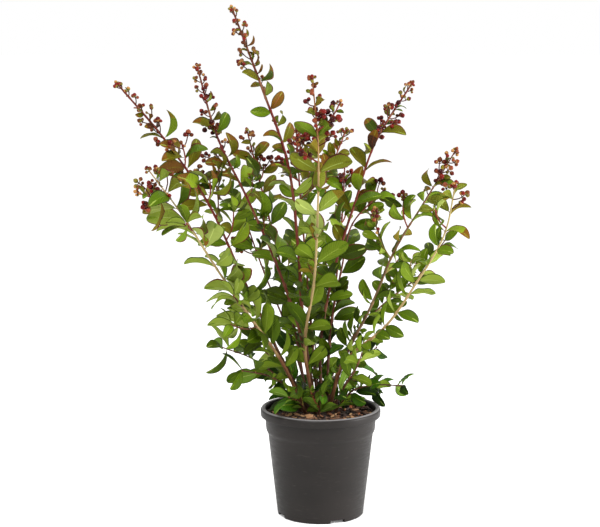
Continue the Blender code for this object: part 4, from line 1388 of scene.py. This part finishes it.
def bud_shape(centre, axis, radius):
    """A top-shaped bud with faint ribs and a small point, and its finish for each face."""
    across = axis.orthogonal().normalized()
    beside = axis.cross(across)
    corners = []
    for height, width in BUD_RINGS:
        for side in range(BUD_SIDES):
            angle = 2 * pi * side / BUD_SIDES
            swell = radius * width * (1 + BUD_RIBS * cos(3 * angle))
            out = across * cos(angle) + beside * sin(angle)
            corners.append(centre + axis * (height * radius) + out * swell)
    corners += [centre - axis * (BUD_FOOT * radius), centre + axis * (BUD_POINT * radius)]
    foot, point = len(corners) - 2, len(corners) - 1
    faces, halves = [], []
    for side in range(BUD_SIDES):
        next_side = (side + 1) % BUD_SIDES
        faces.append((foot, next_side, side))
        halves.append("calyx")
        for ring in range(len(BUD_RINGS) - 1):
            low = ring * BUD_SIDES
            high = low + BUD_SIDES
            faces.append((low + side, low + next_side, high + next_side, high + side))
            halves.append("calyx" if ring < CALYX_RINGS else "cap")
        high = (len(BUD_RINGS) - 1) * BUD_SIDES
        faces.append((high + side, high + next_side, point))
        halves.append("tip")
    return corners, faces, halves


# Colours of the buds and of their stalks
BUD_COLOURS = {
    "maroon": (74, 15, 12),
    "dark_maroon": (46, 9, 8),
    "crimson": (100, 22, 16),
    "brick": (112, 54, 30),
    "russet_bud": (90, 46, 21),
    "tan_bud": (156, 112, 62),
    "olive_bud": (106, 98, 34),
    "stalk_red": (70, 20, 14),
    "stalk_brown": (62, 34, 17),
}


# How chance and ripeness weigh in a bud's draw, past which draw its cap takes each colour, and the
# colours of its calyx
CAP_CHANCE = 0.7
CAP_RIPENESS = 0.6
DARKEST_CAP = 1.0
DARK_CAP = 0.62
RED_CAP = 0.46
BROWN_CAP = 0.20
# Share of dark buds with a painted highlight: a crimson tip
PAINTED_HIGHLIGHT_TIPS = 0.35
RIPE_CALYX = ("dark_maroon", "russet_bud", "brick")
YOUNG_CALYX = ("russet_bud", "olive_bud", "tan_bud")

# Each twig's colour and roughness, and where the twigs are red
TWIG_FINISHES = {
    "twig_red": ((114, 44, 32), 0.5),
    "twig_green": ((130, 116, 58), 0.5),
    "twig_brown": ((84, 52, 32), 0.55),
}
RED_TWIGS_FROM = 0.42
LOW_RED_TWIGS = 0.1


def add_bud(pile, foot, axis, radius, dice, ripeness):
    """A bud whose foot is at a place, darker the riper it is, some dark ones with a painted highlight in
    crimson at the tip.
    """
    draw = dice.random() * CAP_CHANCE + ripeness * CAP_RIPENESS
    if draw > DARKEST_CAP:
        cap = "dark_maroon"
    elif draw > DARK_CAP:
        cap = "maroon"
    elif draw > RED_CAP:
        cap = "crimson"
    elif draw > BROWN_CAP:
        cap = "brick" if dice.random() < 0.5 else "russet_bud"
    else:
        cap = "tan_bud" if dice.random() < 0.6 else "olive_bud"
    calyx = dice.choice(RIPE_CALYX if ripeness > 0.5 else YOUNG_CALYX)
    # Painted highlight: some dark buds get a crimson tip
    lit = cap in ("maroon", "dark_maroon") and dice.random() < PAINTED_HIGHLIGHT_TIPS
    kinds = {"calyx": calyx, "cap": cap, "tip": "crimson" if lit else cap}
    corners, faces, halves = bud_shape(foot + axis * (radius * 1.05), axis, radius)
    pile.add(corners, faces, [kinds[half] for half in halves])


def add_cluster(pile, cluster, dice, ripeness):
    """A branchlet with a bud at its end and the others close round it on short stalks."""
    twig = cluster.twig
    kind = "stalk_red" if ripeness > RED_STALKS else "stalk_brown"
    pile.add(*tube(twig, 0.0, twig.length, 6, STALK_RING, STALK_SWELL), kind)
    axis = twig.heading(twig.length)
    radius = cluster.radius * mix(1.0, BUD_SWELL, ripeness)
    add_bud(pile, twig.point(twig.length) - axis * 0.0008, axis, radius, dice, ripeness)
    turn = dice.uniform(0, 2 * pi)
    for index in range(cluster.count - 1):
        at = twig.length - radius * (0.5 + BUD_STEP * (index // 2)) - 0.0005
        at = max(at, twig.length * LOWEST_BUD)
        turn += pi * 0.95 + dice.uniform(-0.3, 0.3)
        if index % 2 == 0:
            turn += PAIR_TURN
        out = twig.outward(at, turn)
        heading = (twig.heading(at) * dice.uniform(0.1, 0.6) + out).normalized()
        start = twig.point(at)
        reach = radius * dice.uniform(0.5, 1.0)
        marks = (start, start + heading * (reach * 0.5), start + heading * reach)
        stalk = Shoot(marks, STALK_RADIUS, STALK_RADIUS, 2)
        pile.add(*tube(stalk, 0.0, stalk.length, STALK_SIDES, STALK_RING), kind)
        size = radius * dice.uniform(0.66, 1.0)
        add_bud(pile, start + heading * (reach * 0.96), heading, size, dice, ripeness)


def fine_chance(place, chances):
    """The chance of finer growth at a place: most low down in the middle of the crown."""
    inside, low, high = chances
    deep = way(reach_of(place), *FINE_REACHES)
    return mix(high, mix(low, inside, deep), way(place.z, *FINE_HEIGHTS))


def fine_twigs(mass, space, growth, order):
    """Short twigs with small leaves, from the lower and middle nodes of a shoot."""
    start = min(growth.first, BARE_BELOW) + 0.010
    for distance, dice in walk(mass, ("fine twig", order), start, growth.last - 0.02, FINE_STEP):
        if dice.random() >= fine_chance(growth.shoot.point(distance), FINE_CHANCES):
            continue
        turn = dice.uniform(0, 360)
        length = dice.uniform(*FINE_LENGTHS)
        twig = side_shoot(growth.shoot, distance, turn, length)
        twig.foot_radius = FINE_RADIUS
        twig.tip_radius = FINE_RADIUS * 0.7
        shape = tube(twig, 0.004, twig.length, TWIG_SIDES, spare=SPARE)
        if not space.blocked(shape, mass.name):
            size = growth.low * dice.uniform(0.34, 0.50)
            finer = Growth(twig, 0.006, length, size, size * 0.8, FINE_GAP, turn + 90, SIDE_STEP, 0.0)
            mass.fine.append(finer)


def small_leaves(mass, space, growth, order):
    """Small leaves at the nodes between a shoot's leaf pairs, as where a bud has just broken."""
    start = min(growth.first, BARE_BELOW) + 0.012
    for distance, dice in walk(mass, ("small leaf", order), start, growth.last, SMALL_STEP):
        if dice.random() < fine_chance(growth.shoot.point(distance), SMALL_CHANCES):
            length = mix(growth.low, growth.high, 0.5) * dice.uniform(0.30, 0.62)
            settle_leaf(mass, space, growth, distance, dice.uniform(0, 360), length, dice)


def small_bracts(mass, space, growth, order):
    """Small leaves under the branchlets, all the way up a flowering shoot."""

    def gap(distance, dice):
        return mix(*SMALL_BRACT_GAPS, raceme_share(growth, distance))

    end = growth.shoot.length
    start = end - growth.raceme + 0.004
    for distance, dice in walk(mass, ("small bract", order), start, end - FLOWER_END, gap):
        share = raceme_share(growth, distance)
        if dice.random() < mix(*SMALL_BRACT_CHANCES, share):
            length = mix(*SMALL_BRACT_LENGTHS, share) * dice.uniform(0.6, 1.15)
            settle_leaf(mass, space, growth, distance, dice.uniform(0, 360), length, dice)


def fine_flowers(mass, space, growth, order):
    """More clusters of buds between those that the solids have, as far as there is room."""
    shoot = growth.shoot

    def gap(distance, dice):
        return mix(*FINE_FLOWER_GAPS, raceme_share(growth, distance)) * dice.uniform(0.85, 1.2)

    start = shoot.length - growth.raceme - 0.012
    for distance, dice in walk(mass, ("fine branchlet", order), start, shoot.length - FLOWER_END, gap):
        share = raceme_share(growth, distance)
        length = mix(*FINE_BRANCHLETS, share) * dice.uniform(0.7, 1.15)
        radius = BUD_RADIUS * mix(*FINE_BUD_SIZES, share) * dice.uniform(0.9, 1.06)
        spread = radians(dice.uniform(46, 74))
        count = max(1, round(mix(*FINE_BUD_COUNTS, share) + dice.uniform(-1.2, 0.8)))
        twig = branchlet(shoot, distance, dice.uniform(0, 2 * pi), length, spread)
        room = tube(twig, twig.length * 0.45, twig.length, 4, spare=radius * 1.1)
        if not space.blocked(room, mass.name):
            space.add(mass.name, room)
            mass.clusters.append(Cluster(twig, radius, count))


def grow_finer(masses, space):
    """Carries the growth on to what is too fine for the solids."""
    for mass in masses:
        mass.fine = []
        for order, growth in enumerate(mass.growths):
            if growth.raceme > LONG_RACEME:
                fine_flowers(mass, space, growth, order)
    for mass in masses:
        for order, growth in enumerate(mass.growths):
            if growth.raceme:
                small_bracts(mass, space, growth, order)
            small_leaves(mass, space, growth, order)
            fine_twigs(mass, space, growth, order)
    for mass in masses:
        for order, growth in enumerate(mass.fine):
            leaf_out(mass, space, growth, 100 + order)


def bark_noise(angle, distance, phase, across, along):
    """A pattern over the bark, finer round it and along it as the last two numbers go up."""
    return noise.noise(Vector((cos(angle) * across, sin(angle) * across, distance * along + phase)))


def bark_radius(shoot, distance, swellings, swell):
    """A stem's radius under its ridges, wider at its foot and where its leaves stand."""
    radius = shoot.radius(distance) * mix(SLIM, swell, way(distance, *SWELL_PLACES))
    radius *= mix(FOOT_FLARE, 1.0, min(distance / FLARE_LENGTH, 1.0))
    for place in swellings:
        radius *= 1 + NODE_SWELL * exp(-((distance - place) / NODE_REACH) ** 2)
    return radius


def bark_tube(shoot, swellings, swell, dice):
    """A stem with its square young section, its swollen nodes and fine ridges along it."""
    count = round(shoot.length / STEM_RING)
    phase = dice.uniform(0, 50)
    corners, maps = [], []
    for ring in range(count + 1):
        distance = shoot.length * (ring / count)
        radius = bark_radius(shoot, distance, swellings, swell)
        centre = shoot.point(distance)
        heading = shoot.heading(distance)
        young = way(centre.z, *YOUNG_HEIGHTS)
        for side in range(BARK_SIDES):
            angle = 2 * pi * side / BARK_SIDES
            ridge = RIDGE_DEPTH * bark_noise(angle, distance, phase, *RIDGES) * (1 - 0.5 * young)
            streak = STREAK_DEPTH * bark_noise(angle, distance, phase, *STREAKS)
            relief = 1 + ridge + streak + SQUARENESS * young * cos(4 * angle)
            corner = centre + shoot.outward(distance, angle) * (radius * relief)
            if ring == 0:
                corner += heading * ((SOIL_TOP + CLEARANCE - corner.z) / heading.z)
            corners.append(corner)
            maps.append((side / BARK_SIDES, distance))
    return corners, ring_faces(count + 1, BARK_SIDES), maps


# Stem colours from the foot to the tip: woody brown, then what the young shoot wears
STEM_STOPS = {
    "maroon": ((0.00, (56, 34, 20)), (0.16, (76, 42, 26)), (0.34, (92, 42, 28)), (0.60, (96, 30, 23)),
               (0.86, (90, 25, 19)), (1.00, (88, 42, 23))),
    "straw": ((0.00, (66, 40, 22)), (0.15, (100, 62, 34)), (0.27, (146, 122, 80)), (0.60, (164, 148, 100)),
              (0.82, (140, 92, 54)), (1.00, (106, 56, 32))),
    "brown": ((0.00, (54, 34, 22)), (0.16, (74, 48, 32)), (0.34, (102, 79, 53)), (0.62, (94, 62, 40)),
              (0.86, (94, 38, 26)), (1.00, (90, 48, 27))),
}
# Stems that are not maroon
STEM_KINDS = {"front_left": "straw", "front": "straw", "low_right": "straw", "far_right": "brown",
              "thin_right": "brown"}


def bark_finish(name, kind):
    """Bark that goes from woody brown to the colour of the young shoot with height."""
    made = Finish(name, (110, 70, 50), 0.6, 0.16)
    height = made.height(SOIL_TOP, BARK_TOP)
    streaks = made.noise(90.0, 4.0, (1, 1, 0.18))
    specks = made.noise(900.0, 2.0)
    share = made.maths("ADD", height, made.maths("MULTIPLY", made.maths("SUBTRACT", streaks, 0.5), 0.22))
    base = made.colour(share, STEM_STOPS[kind])
    pale = made.mix(made.span(streaks, 0.0, 0.25, 0.52, 0.70), base, (166, 134, 96))
    made.paint(made.mix(made.span(specks, 0.0, 0.45, 0.56, 0.70), pale, (58, 36, 28)))
    made.bump(streaks, 0.5, 0.0006)
    made.bump(specks, 0.3, GRAIN_DEPTH)
    made.rough(streaks, 0.48, 0.72)
    return made.made


# How much each corner of the pot's outline is rounded, by its place in the outline
POT_ROUNDING = {
    1: 0.0005, 2: 0.0006, 3: 0.0005, 6: 0.0022, 7: 0.0026, 8: 0.0006, 9: 0.0006, 10: 0.0006, 11: 0.0004,
    12: 0.0005, 13: 0.0010, 14: 0.0014, 15: 0.0014, 16: 0.0012, 17: 0.0012, 19: 0.0020, 20: 0.0020,
}


def rounded(outline, corners, steps=4):
    """An outline whose named corners are rounded, each with its own radius, as moulded plastic is."""
    made = []
    for index, point in enumerate(outline):
        radius = corners.get(index)
        if radius is None:
            made.append(point)
            continue
        here = Vector(point)
        before = Vector(outline[index - 1]) - here
        after = Vector(outline[index + 1]) - here
        start = here + before.normalized() * min(radius, before.length * 0.45)
        end = here + after.normalized() * min(radius, after.length * 0.45)
        for step in range(steps + 1):
            share = step / steps
            made.append(tuple(start.lerp(here, share).lerp(here.lerp(end, share), share)))
    return made


def pot_cutters():
    """The shapes of the foot's notches and of the drain holes, by name."""
    shapes = {}
    middle = (FOOT_INNER_RADIUS + FOOT_RADIUS) / 2
    for index in range(NOTCH_COUNT):
        angle = NOTCH_TURN + 2 * pi * index / NOTCH_COUNT
        shapes[f"notch_{index}"] = box_shape(angle, middle, NOTCH_DEPTH, NOTCH_WIDTH, -0.002, NOTCH_HEIGHT)
    for index in range(DRAIN_COUNT):
        angle = NOTCH_TURN + 2 * pi * (index + 0.5) / DRAIN_COUNT
        centre = Vector((DRAIN_CIRCLE * cos(angle), DRAIN_CIRCLE * sin(angle), 0))
        post = Shoot([centre + UP * height for height in DRAIN_HEIGHTS], DRAIN_RADIUS, DRAIN_RADIUS, 1)
        shapes[f"drain_{index}"] = tube(post, 0.0, post.length, DRAIN_SIDES)
    return shapes


def make_fine_pot(finish):
    """The pot: a fine turned shell with its foot notches and drain holes cut out."""
    outline = rounded(pot_outline(), POT_ROUNDING)
    pot = plain_object("pot_shell", turned(outline, FINE_POT_SIDES), finish)
    cutters = bpy.data.collections.new("pot cutters")
    bpy.context.scene.collection.children.link(cutters)
    for name, shape in pot_cutters().items():
        plain_object(name, shape, finish, cutters)
    modifier = pot.modifiers.new("cut", "BOOLEAN")
    modifier.operation = "DIFFERENCE"
    modifier.operand_type = "COLLECTION"
    modifier.collection = cutters
    modifier.solver = "EXACT"
    settle_mesh(pot)
    for part in list(cutters.objects):
        bpy.data.objects.remove(part)
    bpy.data.collections.remove(cutters)
    pot.data.shade_smooth()
    pot.data.set_sharp_from_angle(angle=radians(34))
    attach(pot, "root")
    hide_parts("pot")


def settle_mesh(obj):
    """Replaces an object's mesh by what its modifiers make of it."""
    graph = bpy.context.evaluated_depsgraph_get()
    mesh = bpy.data.meshes.new_from_object(obj.evaluated_get(graph))
    obj.modifiers.clear()
    obj.data = mesh


def plain_object(name, shape, finish, collection=None):
    """An object from corners and faces."""
    mesh = bpy.data.meshes.new(name)
    mesh.from_pydata([tuple(corner) for corner in shape[0]], [], shape[1])
    mesh.materials.append(finish)
    obj = bpy.data.objects.new(name, mesh)
    (collection or bpy.context.scene.collection).objects.link(obj)
    return obj


def pot_finish():
    """Dark recycled plastic: a fine grain, soft scuffs and a painted highlight in a pale band round the top
    of the lip.
    """
    made = Finish("dark_plastic", (26, 23, 21), 0.45, 0.18)
    grain = made.noise(1400.0, 2.0)
    clouds = made.noise(9.0, 4.0, (1, 1, 1.6))
    scuffs = made.noise(60.0, 5.0, (1, 1, 6.0))
    tone = made.mix(made.span(clouds, 0.0, 1.0, 0.35, 0.68), (24, 21, 19), (32, 28, 26))
    tone = made.mix(made.span(scuffs, 0.0, 0.4, 0.60, 0.74), tone, (54, 50, 47))
    # Painted highlight: a pale band round the top of the rim's lip
    lip = made.height(POT_HEIGHT - 0.0014, POT_HEIGHT - 0.0004)
    made.paint(made.mix(lip, tone, (112, 109, 110)))
    made.bump(clouds, 0.10, 0.0012)
    made.bump(grain, 0.22, GRAIN_DEPTH)
    made.rough(scuffs, 0.40, 0.56)
    return made.made


def chip_shape(centre, tilt, length, width, thickness, dice):
    """A bark chip: an uneven slab, split along its length and chipped at its ends."""
    outline = []
    count = dice.randint(6, 8)
    for index in range(count):
        angle = 2 * pi * index / count + dice.uniform(-0.22, 0.22)
        reach = dice.uniform(0.80, 1.12)
        outline.append(Vector((cos(angle) * length / 2 * reach, sin(angle) * width / 2 * reach, 0)))
    lift = [dice.uniform(-0.25, 0.25) * thickness for _ in outline]
    top = [point * 0.90 + UP * (thickness / 2 + rise) for point, rise in zip(outline, lift)]
    waist = [point * dice.uniform(0.98, 1.06) + UP * (rise * 0.5) for point, rise in zip(outline, lift)]
    under = [point * 0.86 + UP * (rise - thickness / 2) for point, rise in zip(outline, lift)]
    crown = Vector((0, 0, thickness * dice.uniform(0.45, 0.85)))
    base = Vector((0, 0, -thickness * 0.55))
    corners = [centre + tilt @ point for point in top + waist + under + [crown, base]]
    faces = []
    for index in range(count):
        beside = (index + 1) % count
        faces.append((index, beside, 3 * count))
        faces.append((count + index, count + beside, beside, index))
        faces.append((2 * count + index, 2 * count + beside, count + beside, count + index))
        faces.append((2 * count + beside, 2 * count + index, 3 * count + 1))
    return corners, faces


# Colours of the bark chips, and how common each is
CHIP_COLOURS = {
    "chip_black": (30, 20, 15),
    "chip_dark": (46, 28, 19),
    "chip_umber": (66, 40, 26),
    "chip_brown": (98, 66, 43),
    "chip_rust": (118, 74, 45),
    "chip_tan": (156, 114, 78),
    "chip_straw": (176, 136, 96),
    "chip_orange": (168, 94, 54),
}
CHIP_WEIGHTS = (0.15, 0.22, 0.21, 0.18, 0.08, 0.09, 0.05, 0.02)


def make_bed(edge):
    """The rough crumbly bed of the growing medium, out to its edge."""
    finish = Finish("bark_crumbs", (40, 26, 18), 0.9)
    crumbs = finish.noise(260.0, 6.0)
    finish.paint(finish.mix(finish.span(crumbs, 0.0, 1.0, 0.36, 0.66), (24, 16, 12), (70, 44, 30)))
    finish.bump(crumbs, 0.9, 0.0012)
    outline = [(inner_radius(height) - CLEARANCE, height)
               for height in (FLOOR_TOP + CLEARANCE, 0.06, 0.11, STEP_BOTTOM[1], STEP_TOP[1])]
    outline.append((edge, BED_SHOULDER))
    outline += [(edge * (1 - ring / BED_RINGS), BED_TOP) for ring in range(1, BED_RINGS)]
    corners, faces = turned(outline, BED_SIDES)
    for index, corner in enumerate(corners):
        if corner.z > SOIL_TOP - 0.002 and reach_of(corner) < edge * 0.985:
            rough = noise.noise(corner * 90) * 0.0016 + noise.noise(corner * 260) * 0.0010
            corners[index] = corner + UP * min(rough, SOIL_UNEVENNESS)
    bed = plain_object("bark_bed", (corners, faces), finish.made)
    bed.data.shade_smooth()
    bed.data.set_sharp_from_angle(angle=radians(50))
    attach(bed, "root")
    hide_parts("growing_medium")


def make_chips(edge, feet):
    """Bark chips lying over the bed, clear of the stems' feet."""
    dice = random.Random("medium")
    finishes = {}
    for name, colour in CHIP_COLOURS.items():
        finishes[name] = smooth_finish(name, colour, 0.78, 500.0, 0.7)
    pile = Pile(finishes)
    for _ in range(CHIP_COUNT):
        reach = (edge - CHIP_CLEAR) * sqrt(dice.random())
        turn = dice.uniform(0, 2 * pi)
        lengths = SHORT_CHIPS if dice.random() < SHORT_CHIP_SHARE else LONG_CHIPS
        length = dice.uniform(*lengths)
        width = length * dice.uniform(*CHIP_WIDTHS)
        thickness = dice.uniform(*CHIP_THICKNESSES)
        reach = min(reach, edge - length / 2)
        place = Vector((reach * cos(turn), reach * sin(turn), 0))
        if any((place - foot).length < CHIP_CLEAR + length * 0.3 for foot in feet):
            continue
        place.z = SOIL_TOP - CHIP_SINK + dice.random() ** 1.6 * CHIP_LAYER
        tilt = Quaternion(UP, dice.uniform(0, 2 * pi)).to_matrix()
        for axis in "XY":
            tilt = Matrix.Rotation(radians(dice.gauss(0, CHIP_TILT)), 3, axis) @ tilt
        kind = dice.choices(list(finishes), CHIP_WEIGHTS)[0]
        pile.add(*chip_shape(place, tilt, length, width, thickness, dice), kind)
    pile.piece("bark_chips", [], "bark_medium", smooth=False)


def make_medium(masses):
    """The growing medium, and its chips."""
    edge = inner_radius(SOIL_TOP - 0.002) - CLEARANCE
    make_bed(edge)
    make_chips(edge, [Vector((*mass.plan.points[0][:2], 0)) for mass in masses])


def swellings_of(mass):
    """Where a main shoot has leaves, which is where it is swollen."""
    places = []
    for leaf in mass.leaves:
        gap, place = min(((mark - leaf.root).length, length)
                         for mark, length in zip(mass.main.marks, mass.main.lengths))
        if gap < LEAF_NEAR:
            places.append(place)
    kept = []
    for place in sorted(places):
        if not kept or place - kept[-1] > SWELLING_GAP:
            kept.append(place)
    return kept


def make_stems(masses):
    """Bark over every main shoot, from the growing medium to its tip."""
    finishes = {kind: bark_finish(f"bark_{kind}", kind) for kind in STEM_STOPS}
    for mass in masses:
        kind = STEM_KINDS.get(mass.name, "maroon")
        swell = YOUNG_SWELL if kind == "maroon" else SLENDER
        corners, faces, maps = bark_tube(mass.main, swellings_of(mass), swell, mass.dice("bark"))
        pile = Pile({kind: finishes[kind]})
        pile.add(corners, faces, kind, maps)
        nodes = [f"stem_{mass.name}"] if mass.plan.bare else []
        obj = pile.piece(f"bark_{mass.name}", nodes + [f"foliage_{mass.name}"], "stem_bark")
        obj.data.set_sharp_from_angle(angle=radians(60))


# Which masses are joined in each piece of leaves
GROUPS = {
    "left": ("front_left", "far_left", "left"),
    "middle": ("tall", "front", "right", "inner_right"),
    "right": ("far_right", "low_right", "thin_right", "basal_right", "basal_right_low", "basal_front_right",
              "basal_front"),
    "back": ("back", "back_left", "back_right", "rear_left", "basal_back", "basal_back_left",
             "basal_back_right"),
    "low": ("basal_left_low", "basal_left", "basal_front_left"),
}


def leaf_finishes():
    """The finishes of the leaves' upper sides, undersides, ribs, margins and stalks."""
    made = {}
    for name, colour in UPPER.items():
        made[name] = leaf_finish(f"leaf_{name}", colour, 0.36, 0.55, 0.09)
    for name, colour in UNDER.items():
        made[name] = leaf_finish(f"leaf_{name}", colour, 0.60, 0.65, 0.04)
    for name, colour in TRIM.items():
        made[name] = smooth_finish(f"leaf_{name}", colour, 0.50, gloss=0.15)
    return made


def twig_kind(mass, index, growth):
    """A twig's finish: red high up, mostly green or brown low down."""
    dice = mass.dice("twig colour", index)
    if growth.shoot.point(0.0).z > RED_TWIGS_FROM or dice.random() < LOW_RED_TWIGS:
        return "twig_red"
    return dice.choice(("twig_green", "twig_brown"))


def make_foliage_pieces(masses):
    """Leaves, twigs and buds, each kind joined for each group of masses."""
    leaf_kinds = leaf_finishes()
    bud_kinds = {}
    for name, colour in BUD_COLOURS.items():
        bud_kinds[name] = smooth_finish(name, colour, 0.30, 700.0, 0.2, 0.10)
    twig_kinds = {}
    for name, (colour, roughness) in TWIG_FINISHES.items():
        twig_kinds[name] = smooth_finish(name, colour, roughness, gloss=0.16)
    named = {mass.name: mass for mass in masses}
    for group, names in GROUPS.items():
        leaves, twigs, buds = Pile(leaf_kinds), Pile(twig_kinds), Pile(bud_kinds)
        for mass in (named[name] for name in names):
            for index, leaf in enumerate(mass.leaves):
                add_leaf(leaves, mass, index, leaf)
            for index, growth in enumerate(mass.growths[1:] + mass.fine):
                shape = tube(growth.shoot, 0.0, growth.shoot.length, 7, 0.004)
                twigs.add(*shape, twig_kind(mass, index, growth))
            for index, cluster in enumerate(mass.clusters):
                add_cluster(buds, cluster, mass.dice("buds", index), cluster_ripeness(mass, cluster))
        for kind, pile in (("leaves", leaves), ("twigs", twigs), ("buds", buds)):
            if pile.count:
                pile.piece(f"{kind}_{group}", [f"foliage_{name}" for name in names], "foliage")


def cluster_ripeness(mass, cluster):
    """1 for the large dark buds low in a flower head, down to 0 at its young tip."""
    late = LATENESS if mass.name in LATE_FLOWERS else 0.0
    return clamp((cluster.radius / BUD_RADIUS - YOUNG_BUD) / (1 - YOUNG_BUD) - late)


def lamp(name, place, aim, size, power):
    """A soft square lamp that looks at its aim."""
    data = bpy.data.lights.new(name, "AREA")
    data.shape = "SQUARE"
    data.size = size
    data.energy = power
    obj = bpy.data.objects.new(name, data)
    bpy.context.scene.collection.objects.link(obj)
    obj.location = place
    obj.rotation_mode = "QUATERNION"
    obj.rotation_quaternion = (Vector(aim) - obj.location).to_track_quat("-Z", "Y")


def make_studio():
    """A plain pale floor, an even pale surround and soft lamps."""
    finish = Finish("pale_floor", (246, 246, 246), 0.9, 0.0)
    finish.shader.inputs["Emission Color"].default_value = (1.0, 1.0, 1.0, 1.0)
    finish.shader.inputs["Emission Strength"].default_value = FLOOR_GLOW
    corners = [(x * FLOOR_REACH, y * FLOOR_REACH, 0) for x, y in ((-1, -1), (1, -1), (1, 1), (-1, 1))]
    floor = plain_object("studio_floor", (corners, [(0, 1, 2, 3)]), finish.made)
    world = bpy.data.worlds.new("studio")
    bpy.context.scene.world = world
    world.use_nodes = True
    background = world.node_tree.nodes["Background"]
    background.inputs["Color"].default_value = (1.0, 1.0, 1.0, 1.0)
    background.inputs["Strength"].default_value = WORLD_STRENGTH
    for values in LAMPS:
        lamp(*values)
    bpy.context.scene.view_settings.view_transform = "Standard"


def make_camera():
    """The photograph's camera."""
    data = bpy.data.cameras.new("camera")
    data.sensor_width = SENSOR_WIDTH
    data.lens = FOCAL_PIXELS / PHOTO_SIZE[0] * SENSOR_WIDTH
    data.clip_end = CAMERA_REACH
    camera = bpy.data.objects.new("camera", data)
    camera.location = CAMERA_PLACE
    camera.rotation_euler = (radians(90 - CAMERA_PITCH), 0, 0)
    bpy.context.scene.collection.objects.link(camera)
    bpy.context.scene.camera = camera


masses, space = grow_plant()
grow_finer(masses, space)
make_fine_pot(pot_finish())
make_medium(masses)
make_stems(masses)
make_foliage_pieces(masses)
make_studio()
make_camera()

bpy.context.view_layer.update()
